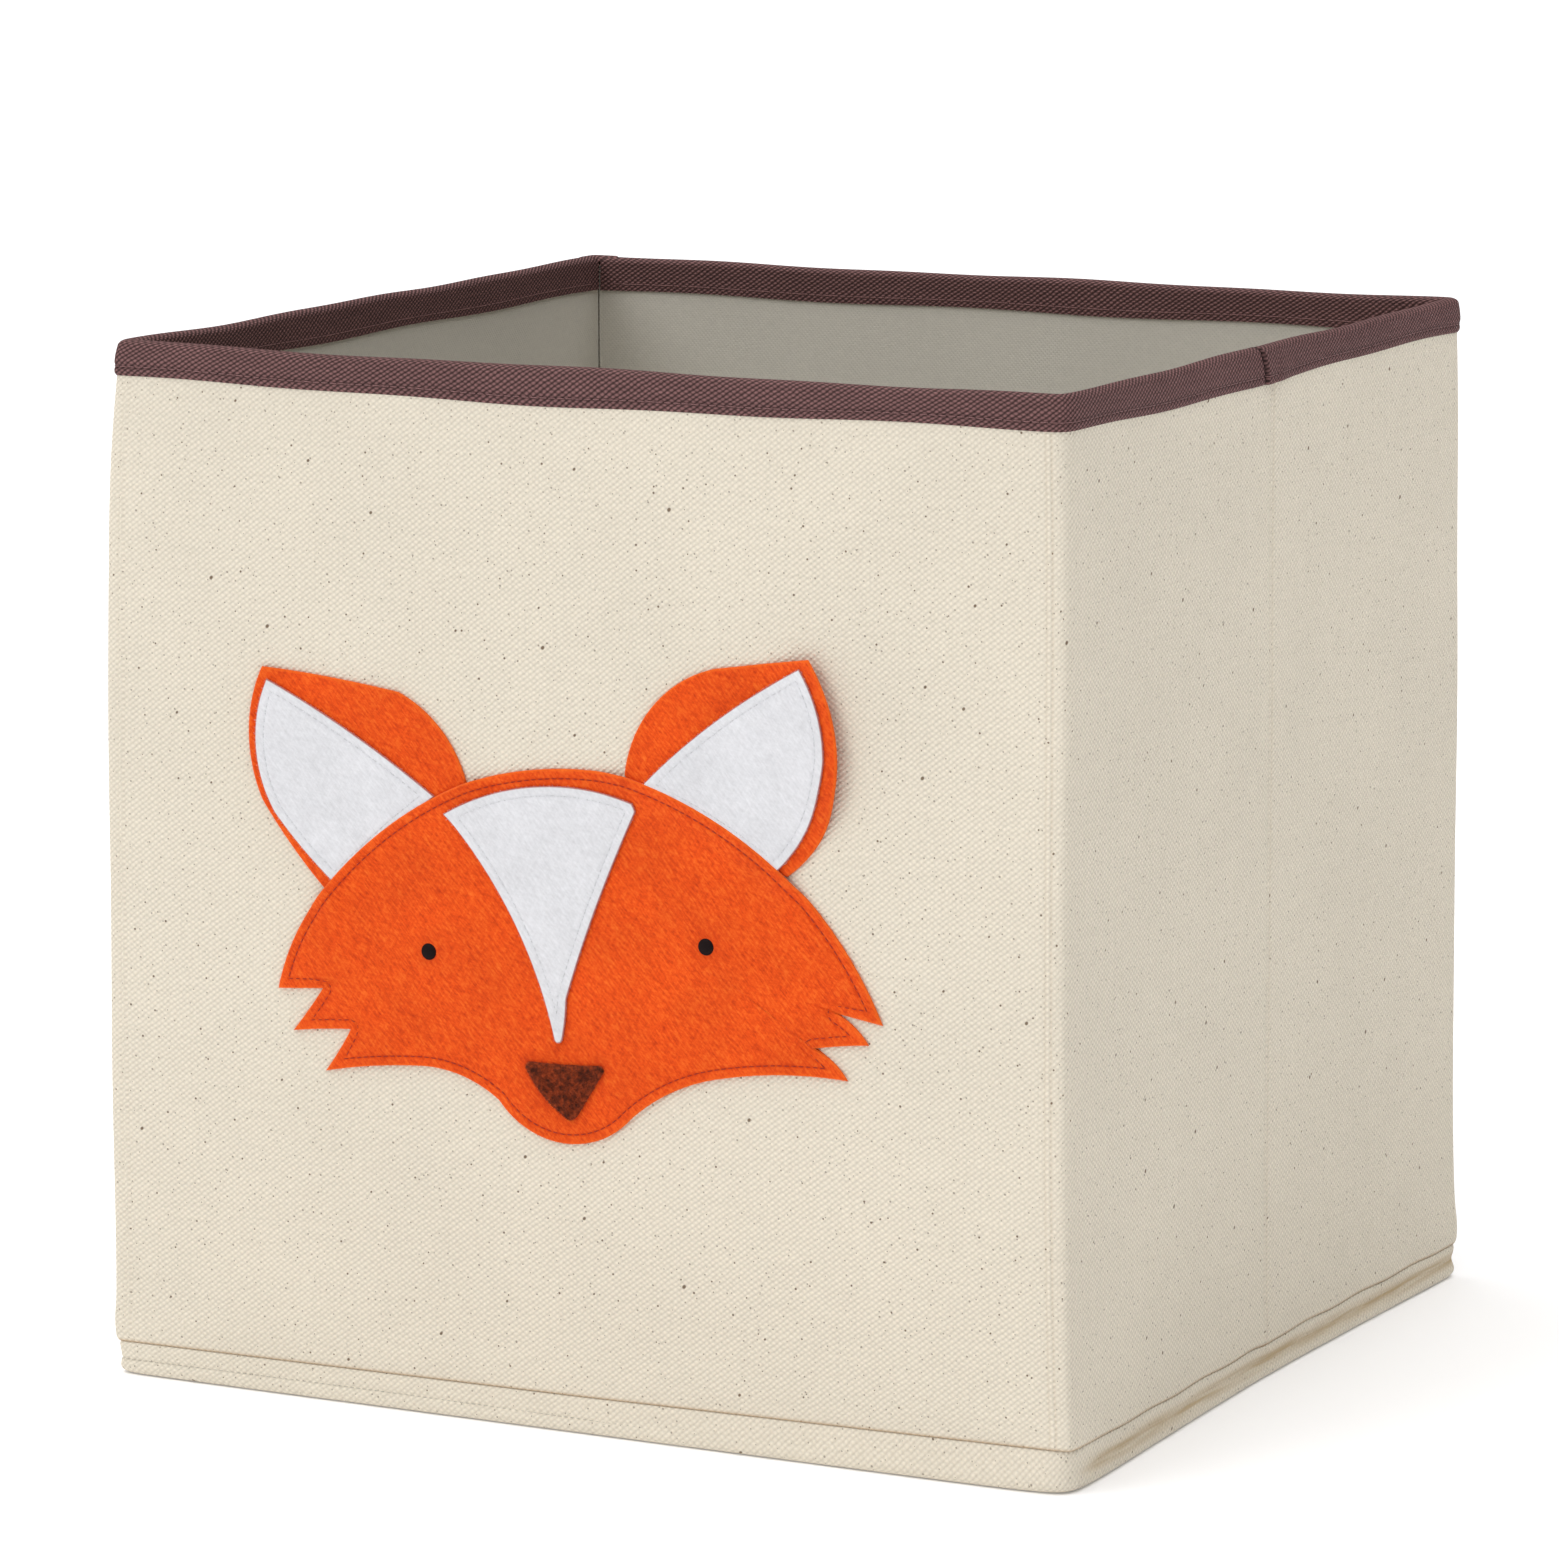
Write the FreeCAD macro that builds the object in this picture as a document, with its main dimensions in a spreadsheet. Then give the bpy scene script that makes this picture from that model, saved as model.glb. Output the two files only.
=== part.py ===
import FreeCAD, Part
import math
import os
import Sketcher

# Fold-flat fabric storage bin with a felt fox face sewn to its front.
# Frame: millimetres, origin on the floor under the middle of the bin, +Z up, front towards -Y.
#
# Each wall is a sandwich of outer canvas, stiffening board and inner lining, capped by a folded
# binding tape.  The side walls are split at a vertical crease so that the bin folds flat
# behind its front wall.  A flat fabric floor with a raised welt joins the walls at the bottom,
# and a loose stiff insert lies on it.

SIZES = [
    ("bin_width", 325.0, "overall width at the rim, left to right"),
    ("bin_depth", 315.0, "overall depth at the rim, front to back"),
    ("bin_height", 330.0, "floor to the top of the rim binding"),
    ("canvas_thick", 0.8, "outer canvas"),
    ("board_thick", 2.0, "stiffening board in each wall"),
    ("lining_thick", 0.5, "inner lining"),
    ("tape_thick", 0.7, "rim binding tape, one layer"),
    ("tape_drop", 12.0, "height of the binding on each face of a wall"),
    ("fold_clear", 0.3, "distance of each fold axis from the panels that meet at it"),
    ("board_inset", 2.0, "board edge to canvas edge, where the fabric turns"),
    ("welt_height", 12.0, "height of the seam welt round the bottom"),
    ("welt_proud", 2.3, "how far the welt stands out past the rim"),
    ("welt_corner", 8.0, "plan radius of the welt's corners"),
    ("welt_edge", 2.5, "radius of the welt's lower outer edge"),
    ("sweep_gap", 0.5, "gap between the welt and the panels that swing above it"),
    ("floor_canvas_thick", 0.8, "canvas under the bin"),
    ("floor_lining_thick", 0.5, "lining on the floor canvas"),
    ("insert_gap", 3.0, "gap between the loose insert and each wall"),
    ("insert_rest", 0.3, "gap under the loose insert"),
    ("insert_board_thick", 2.5, "stiff board of the insert"),
    ("insert_cover_thick", 0.5, "fabric cover of the insert"),
    ("insert_corner", 6.0, "plan radius of the insert's corners"),
    ("felt_thick", 1.2, "orange felt"),
    ("white_felt_thick", 1.0, "white felt laid on the orange"),
    ("nose_thick", 0.8, "flocked nose patch"),
    ("eye_across", 5.3, "diameter of each eye"),
    ("eye_rise", 1.4, "height of each eye's dome"),
    ("fox_centre_height", 150.0, "floor to the fox's reference point"),
]

doc = FreeCAD.newDocument("StorageBin")
sheet = doc.addObject("Spreadsheet::Sheet", "Sizes")
for row, (alias, value, meaning) in enumerate(SIZES, start=1):
    sheet.set(f"A{row}", meaning)
    sheet.set(f"B{row}", str(value))
    sheet.setAlias(f"B{row}", alias)
doc.recompute()

subparts = []  # the objects written out, one file each


# Lengths worked out from the sheet, as expressions that stay bound to its cells.
HALF_WIDTH = "Sizes.bin_width / 2"
HALF_DEPTH = "Sizes.bin_depth / 2"
CORE = "(Sizes.canvas_thick + Sizes.board_thick + Sizes.lining_thick)"
WALL = f"({CORE} + 2 * Sizes.tape_thick)"
INNER_X = f"({HALF_WIDTH} - {WALL})"
INNER_Y = f"({HALF_DEPTH} - {WALL})"
CANVAS_X = f"({HALF_WIDTH} - Sizes.tape_thick)"
CANVAS_Y = f"({HALF_DEPTH} - Sizes.tape_thick)"
CORE_TOP = "(Sizes.bin_height - Sizes.tape_thick)"
SIDE_END = f"({INNER_Y} - 2 * Sizes.fold_clear)"
FLOOR_TOP = "(Sizes.floor_canvas_thick + Sizes.floor_lining_thick)"


def bind(target, **expressions):
    """Bind properties of an object to expressions; _ in a name stands for a dot."""
    for name, expression in expressions.items():
        target.setExpression(name.replace("_", "."), expression)


def place(target, x, y, z):
    """Bind an object's place to three expressions."""
    bind(target, Placement_Base_x=x, Placement_Base_y=y, Placement_Base_z=z)


def keep(target, label):
    """Name a finished sub-part and list it for writing out."""
    target.Label = label
    subparts.append(target)
    return target


def slab(label, low, size):
    """A flat rectangular layer, from its low corner and its three sizes."""
    box = doc.addObject("Part::Box", label)
    bind(box, Length=size[0], Width=size[1], Height=size[2])
    place(box, *low)
    return keep(box, label)


def body_sketch(body, role, name):
    """A sketch on one of the body's own origin planes."""
    sketch = body.newObject("Sketcher::SketchObject", name)
    plane = next(f for f in body.Origin.OriginFeatures if f.Role == role)
    sketch.AttachmentSupport = (plane, [""])
    sketch.MapMode = "FlatFace"
    return sketch


def near(first, second):
    return first.distanceToPoint(second) < 1e-6


def join_run(sketch, edges):
    """Join a closed run of sketch edges end to start."""
    ends = [(sketch.getPoint(i, 1), sketch.getPoint(i, 2)) for i in edges]
    for here, (a, b) in enumerate(ends):
        after = (here + 1) % len(edges)
        for mine, point in ((1, a), (2, b)):
            for theirs, other in zip((1, 2), ends[after]):
                if near(point, other):
                    sketch.addConstraint(
                        Sketcher.Constraint("Coincident", edges[here], mine, edges[after], theirs))


def rectangle(sketch, name, width, depth):
    """A centred rectangle whose two sizes are bound to expressions."""
    corners = [(-10, -10), (10, -10), (10, 10), (-10, 10)]
    points = [FreeCAD.Vector(x, y, 0) for x, y in corners]
    edges = []
    for start, end in zip(points, points[1:] + points[:1]):
        edges.append(sketch.addGeometry(Part.LineSegment(start, end), False))
    join_run(sketch, edges)
    for level, upright in ((edges[0], edges[1]), (edges[2], edges[3])):
        sketch.addConstraint(Sketcher.Constraint("Horizontal", level))
        sketch.addConstraint(Sketcher.Constraint("Vertical", upright))
    sketch.addConstraint(Sketcher.Constraint("Symmetric", edges[0], 1, edges[2], 1, -1, 1))
    for suffix, kind, edge, size in (("wide", "DistanceX", edges[0], width),
                                     ("deep", "DistanceY", edges[1], depth)):
        index = sketch.addConstraint(Sketcher.Constraint(kind, edge, 1, edge, 2, 20.0))
        sketch.renameConstraint(index, f"{name}_{suffix}")
        sketch.setExpression(f"Constraints.{name}_{suffix}", size)


def pad(body, sketch, name, length, both_ways=False):
    """Extrude a sketch by a bound length."""
    feature = body.newObject("PartDesign::Pad", name)
    feature.Profile = sketch
    if both_ways:
        feature.SideType = "Symmetric"
    feature.setExpression("Length", length)
    return feature


def plate_body(label, width, depth, thickness, corner=None):
    """A centred plate lying in XY, with rounded upright corners if a radius is given."""
    body = doc.addObject("PartDesign::Body", label)
    sketch = body_sketch(body, "XY_Plane", f"{label}_plan")
    rectangle(sketch, "plan", width, depth)
    plate = pad(body, sketch, f"{label}_plate", thickness)
    if corner is not None:
        doc.recompute()
        round_uprights(body, plate, f"{label}_corners", corner, plate.Shape.BoundBox)
    return keep(body, label)


def round_uprights(body, feature, name, radius, outer):
    """Fillet the upright edges that stand on the four corners of a centred box."""
    edges = []
    for index, edge in enumerate(feature.Shape.Edges, start=1):
        box = edge.BoundBox
        upright = box.ZLength > 1e-4
        at_corner = (abs(abs(box.XMin) - outer.XMax) < 1e-4
                     and abs(abs(box.XMax) - outer.XMax) < 1e-4
                     and abs(abs(box.YMin) - outer.YMax) < 1e-4
                     and abs(abs(box.YMax) - outer.YMax) < 1e-4)
        if upright and at_corner:
            edges.append(f"Edge{index}")
    fillet = body.newObject("PartDesign::Fillet", name)
    fillet.Base = (feature, edges)
    fillet.setExpression("Radius", radius)
    return fillet


# Walls -----------------------------------------------------------------------------------

# Each wall panel: name, which way it faces (axis and sign), and its run along the other axis.
# The front and back panels run the full width.  The side panels start clear of them and stop
# clear of the crease at the middle of the side.
FULL_RUN = (f"-{CANVAS_X}", f"2 * {CANVAS_X}")
FRONT_HALF = (f"-{SIDE_END}", f"({SIDE_END} - Sizes.fold_clear)")
REAR_HALF = ("Sizes.fold_clear", f"({SIDE_END} - Sizes.fold_clear)")
PANELS = [
    ("front", "Y", -1, FULL_RUN),
    ("right_front", "X", 1, FRONT_HALF),
    ("right_rear", "X", 1, REAR_HALF),
    ("left_front", "X", -1, FRONT_HALF),
    ("left_rear", "X", -1, REAR_HALF),
    ("back", "Y", 1, FULL_RUN),
]

# The front panel rises straight from the welt that it is sewn to; the others clear it.
PANEL_FOOT = {"front": "Sizes.welt_height"}
SWINGING_FOOT = "(Sizes.welt_height + Sizes.sweep_gap)"


def layer_low(sign, half, depth_in, thick):
    """Low side of a layer that lies depth_in behind a wall's outer face."""
    if sign > 0:
        return f"{half} - ({depth_in}) - {thick}"
    return f"-{half} + ({depth_in})"


def wall_layer(kind, panel, depth_in, thick, inset):
    """One flat layer of a wall sandwich, stopping short of the panel's edges by inset."""
    name, axis, sign, (start, run) = panel
    foot = PANEL_FOOT.get(name, SWINGING_FOOT)
    half = HALF_WIDTH if axis == "X" else HALF_DEPTH
    across = layer_low(sign, half, depth_in, thick)
    along = f"{start} + {inset}"
    length = f"{run} - 2 * {inset}"
    low_z = f"{foot} + {inset}"
    height = f"{CORE_TOP} - {foot} - 2 * {inset}"
    if axis == "X":
        return slab(f"{kind}_{name}", (across, along, low_z), (thick, length, height))
    return slab(f"{kind}_{name}", (along, across, low_z), (length, thick, height))


def rim_binding(panel):
    """The tape folded over a panel's top edge: an upside-down U carried along the panel."""
    name, axis, sign, (start, run) = panel
    label = f"binding_{name}"
    body = doc.addObject("PartDesign::Body", label)
    sketch = body_sketch(body, "XZ_Plane", f"{label}_section")
    outer, inner, drop, top = 10.0, 8.0, -10.0, -2.0
    corners = [(-outer, drop), (-outer, 0), (outer, 0), (outer, drop),
               (inner, drop), (inner, top), (-inner, top), (-inner, drop)]
    points = [FreeCAD.Vector(x, z, 0) for x, z in corners]
    edges = []
    for first, second in zip(points, points[1:] + points[:1]):
        edges.append(sketch.addGeometry(Part.LineSegment(first, second), False))
    join_run(sketch, edges)
    for index, edge in enumerate(edges):
        kind = "Horizontal" if index % 2 else "Vertical"
        sketch.addConstraint(Sketcher.Constraint(kind, edge))
    sketch.addConstraint(Sketcher.Constraint("Symmetric", edges[1], 1, edges[1], 2, -1, 1))
    sketch.addConstraint(Sketcher.Constraint("Equal", edges[3], edges[7]))
    sketch.addConstraint(Sketcher.Constraint("Equal", edges[0], edges[2]))
    sizes = [("width", "DistanceX", edges[1], 1, 2, WALL),
             ("drop", "DistanceY", edges[0], 1, 2, "Sizes.tape_drop"),
             ("flap", "DistanceX", edges[7], 2, 1, "Sizes.tape_thick")]
    for word, kind, edge, first, second, size in sizes:
        value = abs(getattr(sketch.getPoint(edge, 1) - sketch.getPoint(edge, 2),
                            "x" if kind == "DistanceX" else "y"))
        index = sketch.addConstraint(Sketcher.Constraint(kind, edge, first, edge, second, value))
        sketch.renameConstraint(index, word)
        sketch.setExpression(f"Constraints.{word}", size)
    index = sketch.addConstraint(
        Sketcher.Constraint("DistanceY", edges[4], 1, edges[4], 2, inner))
    sketch.renameConstraint(index, "inside")
    sketch.setExpression("Constraints.inside", "Sizes.tape_drop - Sizes.tape_thick")
    pad(body, sketch, f"{label}_run", run, both_ways=True)

    half = HALF_WIDTH if axis == "X" else HALF_DEPTH
    middle_across = f"({half} - {WALL} / 2) * {sign}"
    middle_along = f"{start} + ({run}) / 2"
    if axis == "X":
        place(body, middle_across, middle_along, "Sizes.bin_height")
    else:
        body.Placement.Rotation = FreeCAD.Rotation(FreeCAD.Vector(0, 0, 1), 90)
        place(body, middle_along, middle_across, "Sizes.bin_height")
    return keep(body, label)


for panel in PANELS:
    wall_layer("canvas", panel, "Sizes.tape_thick", "Sizes.canvas_thick", "0")
    wall_layer("board", panel, "Sizes.tape_thick + Sizes.canvas_thick",
               "Sizes.board_thick", "Sizes.board_inset")
    wall_layer("lining", panel, "Sizes.tape_thick + Sizes.canvas_thick + Sizes.board_thick",
               "Sizes.lining_thick", "0")
    rim_binding(panel)


# Floor -----------------------------------------------------------------------------------

def welt():
    """The seam welt: a low ring round the bottom, flush inside, standing proud outside."""
    body = doc.addObject("PartDesign::Body", "base_welt")
    sketch = body_sketch(body, "XY_Plane", "welt_plan")
    rectangle(sketch, "outer", "Sizes.bin_width + 2 * Sizes.welt_proud",
              "Sizes.bin_depth + 2 * Sizes.welt_proud")
    rectangle(sketch, "inner", f"2 * {INNER_X}", f"2 * {INNER_Y}")
    ring = pad(body, sketch, "welt_ring", "Sizes.welt_height")
    doc.recompute()
    corners = round_uprights(body, ring, "welt_corners", "Sizes.welt_corner",
                             ring.Shape.BoundBox)
    doc.recompute()
    box = corners.Shape.BoundBox
    under = []
    for index, edge in enumerate(corners.Shape.Edges, start=1):
        on_floor = edge.BoundBox.ZMax < 1e-4
        reach = max(abs(edge.BoundBox.XMin) / box.XMax, abs(edge.BoundBox.XMax) / box.XMax,
                    abs(edge.BoundBox.YMin) / box.YMax, abs(edge.BoundBox.YMax) / box.YMax)
        if on_floor and reach > 0.999:
            under.append(f"Edge{index}")
    lower = body.newObject("PartDesign::Fillet", "welt_lower_edge")
    lower.Base = (corners, under)
    lower.setExpression("Radius", "Sizes.welt_edge")
    return keep(body, "base_welt")


welt()
slab("base_canvas", (f"-{INNER_X}", f"-{INNER_Y}", "0"),
     (f"2 * {INNER_X}", f"2 * {INNER_Y}", "Sizes.floor_canvas_thick"))
slab("base_lining", (f"-{INNER_X}", f"-{INNER_Y}", "Sizes.floor_canvas_thick"),
     (f"2 * {INNER_X}", f"2 * {INNER_Y}", "Sizes.floor_lining_thick"))


# Loose insert ----------------------------------------------------------------------------

INSERT_WIDTH = f"(2 * ({INNER_X} - Sizes.insert_gap))"
INSERT_DEPTH = f"(2 * ({INNER_Y} - Sizes.insert_gap))"
INSERT_FOOT = f"({FLOOR_TOP} + Sizes.insert_rest)"
COVER_HALF = "(Sizes.insert_cover_thick + Sizes.insert_board_thick / 2)"


def insert_cover(label, place_z, upside_down):
    """Half of the insert's cover: a shallow tray round half of the board's thickness."""
    body = doc.addObject("PartDesign::Body", label)
    plan = body_sketch(body, "XY_Plane", f"{label}_plan")
    rectangle(plan, "plan", INSERT_WIDTH, INSERT_DEPTH)
    pad(body, plan, f"{label}_plate", COVER_HALF)
    well = body_sketch(body, "XY_Plane", f"{label}_well_plan")
    rectangle(well, "well", f"{INSERT_WIDTH} - 2 * Sizes.insert_cover_thick",
              f"{INSERT_DEPTH} - 2 * Sizes.insert_cover_thick")
    well.setExpression("AttachmentOffset.Base.z", COVER_HALF)
    pocket = body.newObject("PartDesign::Pocket", f"{label}_well")
    pocket.Profile = well
    pocket.setExpression("Length", "Sizes.insert_board_thick / 2")
    doc.recompute()
    inside = round_uprights(body, pocket, f"{label}_well_corners",
                            "Sizes.insert_corner - Sizes.insert_cover_thick",
                            well.Shape.BoundBox)
    doc.recompute()
    round_uprights(body, inside, f"{label}_corners", "Sizes.insert_corner",
                   inside.Shape.BoundBox)
    if upside_down:
        body.Placement.Rotation = FreeCAD.Rotation(FreeCAD.Vector(1, 0, 0), 180)
    place(body, "0", "0", place_z)
    return keep(body, label)


insert_cover("insert_cover_bottom", INSERT_FOOT, upside_down=False)
insert_cover("insert_cover_top", f"{INSERT_FOOT} + 2 * {COVER_HALF}", upside_down=True)
board = plate_body("insert_board", f"{INSERT_WIDTH} - 2 * Sizes.insert_cover_thick",
                   f"{INSERT_DEPTH} - 2 * Sizes.insert_cover_thick",
                   "Sizes.insert_board_thick",
                   "Sizes.insert_corner - Sizes.insert_cover_thick")
place(board, "0", "0", f"{INSERT_FOOT} + Sizes.insert_cover_thick")


# Fox face --------------------------------------------------------------------------------

# Outlines lie in the front face's plane, from the fox's reference point on the bin's middle
# line.  Each outline starts at a point and goes round by straight runs (x, z) and arcs
# (x, z through which it passes, x, z at which it ends).  The head leans a little to the left.

# Points where the ears leave the head's top edge, left to right.
EAR_A = (-88.5, 13.0)
EAR_B = (-38.0, 50.4)
EAR_C = (17.0, 56.8)
EAR_D = (72.5, 30.2)
# High points of the head's edge under each ear.
UNDER_LEFT = (-65.0, 34.9)
UNDER_RIGHT = (46.5, 46.7)
LEFT_CHEEK = (-105.7, -20.0)
RIGHT_CHEEK = (104.7, -12.5)

HEAD = (LEFT_CHEEK, [
    (-99.0, -2.0, *EAR_A),
    (*UNDER_LEFT, *EAR_B),
    (-10.0, 56.8, *EAR_C),
    (*UNDER_RIGHT, *EAR_D),
    (90.5, 11.2, *RIGHT_CHEEK),
    (89.5, -10.2),
    (95.5, -14.0, 100.0, -19.0),
    (90.5, -20.1, 81.5, -21.7),
    (88.0, -25.2, 93.0, -30.6),
    (72.0, -30.8, 50.0, -34.1),
    (34.5, -39.3, 19.0, -49.7),
    (-4.0, -59.6, -27.0, -48.2),
    (-40.0, -41.8, -54.0, -40.0),
    (-70.0, -41.4, -88.8, -44.8),
    (-83.4, -37.2, -79.5, -30.7),
    (-90.0, -31.6, -100.4, -33.0),
    (-94.2, -25.1, -89.5, -18.6),
    (-97.0, -19.3, *LEFT_CHEEK),
])
LEFT_EAR = (EAR_A, [
    (-101.0, 26.8, -110.5, 39.5),
    (-115.2, 58.0, -110.3, 81.6),
    (-86.0, 79.8, -62.0, 76.8),
    (-48.5, 67.8, *EAR_B),
    (*UNDER_LEFT, *EAR_A),
])
RIGHT_EAR = (EAR_C, [
    (26.3, 78.4, 48.0, 91.8),
    (64.5, 94.5, 80.7, 97.2),
    (87.7, 84.0, 90.8, 68.0),
    (86.0, 46.0, *EAR_D),
    (*UNDER_RIGHT, *EAR_C),
])
LEFT_INNER_EAR = ((-49.3, 46.2), [
    (-66.0, 34.3, -85.2, 16.5),
    (-96.0, 25.6, -105.5, 36.0),
    (-112.2, 57.0, -108.0, 78.0),
    (-78.0, 63.2, -49.3, 46.2),
])
RIGHT_INNER_EAR = ((24.0, 55.2), [
    (50.0, 77.0, 78.0, 94.3),
    (84.6, 81.5, 86.8, 67.0),
    (80.0, 45.3, 69.5, 32.6),
    (47.0, 46.6, 24.0, 55.2),
])
BLAZE = ((-45.3, 40.3), [
    (-10.0, 51.7, 20.6, 48.7),
    (21.5, 46.3),
    (8.4, 16.5, -2.6, -14.0),
    (-3.1, -21.0, -4.2, -27.2),
    (-5.6, -28.1, -6.8, -27.7),
    (-22.0, 10.5, -45.3, 40.3),
])
NOSE = ((-15.3, -34.7), [
    (-3.5, -34.6, 8.6, -33.8),
    (10.0, -34.7, 9.6, -36.4),
    (0.8, -50.4),
    (-1.6, -51.7, -4.0, -50.6),
    (-11.0, -45.0, -16.6, -37.6),
    (-17.0, -35.8, -15.3, -34.7),
])
EYES = {"left_eye": (-51.2, -3.5), "right_eye": (45.3, 6.5)}


def felt_piece(label, outline, thick, lift):
    """A felt cut-out: its outline extruded outwards, lift in front of the front canvas."""
    body = doc.addObject("PartDesign::Body", label)
    sketch = body_sketch(body, "XZ_Plane", f"{label}_outline")
    start, runs = outline
    here = FreeCAD.Vector(*start, 0)
    edges = []
    for run in runs:
        there = FreeCAD.Vector(*run[-2:], 0)
        if len(run) == 4:
            curve = Part.Arc(here, FreeCAD.Vector(*run[:2], 0), there)
        else:
            curve = Part.LineSegment(here, there)
        edges.append(sketch.addGeometry(curve, False))
        here = there
    join_run(sketch, edges)
    pad(body, sketch, f"{label}_felt", thick)
    place(body, "0", f"-{CANVAS_Y} - ({lift})", "Sizes.fox_centre_height")
    return keep(body, label)


def eye(label, centre):
    """A small dome, revolved about the line that it looks along."""
    body = doc.addObject("PartDesign::Body", label)
    sketch = body_sketch(body, "XY_Plane", f"{label}_section")
    radius, rise = 2.0, 1.0
    foot = FreeCAD.Vector(0, 0, 0)
    rim = FreeCAD.Vector(radius, 0, 0)
    crown = FreeCAD.Vector(0, -rise, 0)
    across = sketch.addGeometry(Part.LineSegment(foot, rim), False)
    bulge = FreeCAD.Vector(radius * math.sqrt(0.5), -rise * 0.72, 0)
    dome = sketch.addGeometry(Part.Arc(rim, bulge, crown), False)
    middle = sketch.addGeometry(Part.LineSegment(crown, foot), False)
    join_run(sketch, [across, dome, middle])
    sketch.addConstraint(Sketcher.Constraint("Coincident", across, 1, -1, 1))
    sketch.addConstraint(Sketcher.Constraint("Horizontal", across))
    sketch.addConstraint(Sketcher.Constraint("Vertical", middle))
    # The dome's centre stays on the middle line, so that its crown is smooth.
    sketch.addConstraint(Sketcher.Constraint("PointOnObject", dome, 3, -2))
    wide = sketch.addConstraint(Sketcher.Constraint("DistanceX", across, 1, across, 2, radius))
    sketch.renameConstraint(wide, "wide")
    sketch.setExpression("Constraints.wide", "Sizes.eye_across / 2")
    tall = sketch.addConstraint(Sketcher.Constraint("DistanceY", middle, 1, middle, 2, rise))
    sketch.renameConstraint(tall, "rise")
    sketch.setExpression("Constraints.rise", "Sizes.eye_rise")
    turned = body.newObject("PartDesign::Revolution", f"{label}_dome")
    turned.Profile = sketch
    turned.ReferenceAxis = (sketch, ["V_Axis"])
    turned.Angle = 360
    place(body, str(centre[0]), f"-{CANVAS_Y} - Sizes.felt_thick",
          f"Sizes.fox_centre_height + {centre[1]}")
    return keep(body, label)


felt_piece("face_felt", HEAD, "Sizes.felt_thick", "0")
felt_piece("left_ear_felt", LEFT_EAR, "Sizes.felt_thick", "0")
felt_piece("right_ear_felt", RIGHT_EAR, "Sizes.felt_thick", "0")
felt_piece("left_inner_ear_felt", LEFT_INNER_EAR, "Sizes.white_felt_thick", "Sizes.felt_thick")
felt_piece("right_inner_ear_felt", RIGHT_INNER_EAR, "Sizes.white_felt_thick", "Sizes.felt_thick")
felt_piece("blaze_felt", BLAZE, "Sizes.white_felt_thick", "Sizes.felt_thick")
felt_piece("nose_felt", NOSE, "Sizes.nose_thick", "Sizes.felt_thick")
for label, centre in EYES.items():
    eye(label, centre)


# Check and write -------------------------------------------------------------------------

doc.recompute()
for item in doc.Objects:
    if "Invalid" in item.State or "Error" in item.State:
        raise RuntimeError(f"{item.Label} did not compute: {item.State}")
for item in subparts:
    if item.Shape.isNull() or not item.Shape.isValid() or item.Shape.Volume <= 0:
        raise RuntimeError(f"{item.Label} has no valid shape")

os.makedirs("parts", exist_ok=True)
for item in subparts:
    item.Shape.exportStep(f"parts/{item.Label}.step")
print(len(subparts), "sub-parts written")
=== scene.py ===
import math

import bmesh
import bpy
import numpy as np
from bpy.props import FloatProperty, FloatVectorProperty, PointerProperty
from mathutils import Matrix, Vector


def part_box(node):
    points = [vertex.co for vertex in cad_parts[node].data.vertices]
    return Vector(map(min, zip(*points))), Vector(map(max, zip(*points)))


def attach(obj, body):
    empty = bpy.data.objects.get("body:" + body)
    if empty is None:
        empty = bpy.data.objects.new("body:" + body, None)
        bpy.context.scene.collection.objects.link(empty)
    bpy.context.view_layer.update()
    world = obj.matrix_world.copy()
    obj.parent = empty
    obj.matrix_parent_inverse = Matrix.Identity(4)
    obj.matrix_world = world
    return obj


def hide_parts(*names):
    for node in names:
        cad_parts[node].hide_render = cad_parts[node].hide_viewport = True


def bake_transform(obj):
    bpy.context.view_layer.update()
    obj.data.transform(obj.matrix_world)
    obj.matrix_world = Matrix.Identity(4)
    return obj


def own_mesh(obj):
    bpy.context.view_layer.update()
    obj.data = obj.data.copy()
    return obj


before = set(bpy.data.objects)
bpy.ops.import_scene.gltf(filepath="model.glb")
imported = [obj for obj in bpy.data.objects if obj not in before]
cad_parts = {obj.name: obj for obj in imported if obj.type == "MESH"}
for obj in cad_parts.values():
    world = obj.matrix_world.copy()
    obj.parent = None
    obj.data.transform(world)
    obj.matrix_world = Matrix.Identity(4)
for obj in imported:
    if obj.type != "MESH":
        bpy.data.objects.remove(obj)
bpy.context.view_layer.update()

bl_info = {
    "name": "Fox Storage Bin",
    "version": (1, 0, 0),
    "blender": (4, 5, 0),
    "location": "View3D > Sidebar > Storage Bin",
    "description": "Sews a fold-flat fabric storage bin with a felt fox face round its frame",
    "category": "Object",
}

MM = 0.001

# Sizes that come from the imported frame, in metres.
CANVAS_LOW, CANVAS_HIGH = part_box("canvas_front")
TAPE_LOW, TAPE_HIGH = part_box("binding_front")
INSERT_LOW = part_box("insert_cover_bottom")[0]
INSERT_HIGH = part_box("insert_cover_top")[1]
HALF_X = CANVAS_HIGH.x
HALF_Y = -CANVAS_LOW.y
RIM_RISE = 1.5 * MM
RIM_Z = TAPE_HIGH.z + RIM_RISE
TAPE_OUT = CANVAS_LOW.y - TAPE_LOW.y + 0.35 * MM
TAPE_IN = HALF_Y + TAPE_HIGH.y
LINING_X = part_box("lining_right_front")[0].x
FLOOR_X, FLOOR_Y, FLOOR_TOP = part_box("base_lining")[1]
FELT_TOP = CANVAS_LOW.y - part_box("face_felt")[0].y
SEAM_Z = CANVAS_LOW.z

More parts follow.
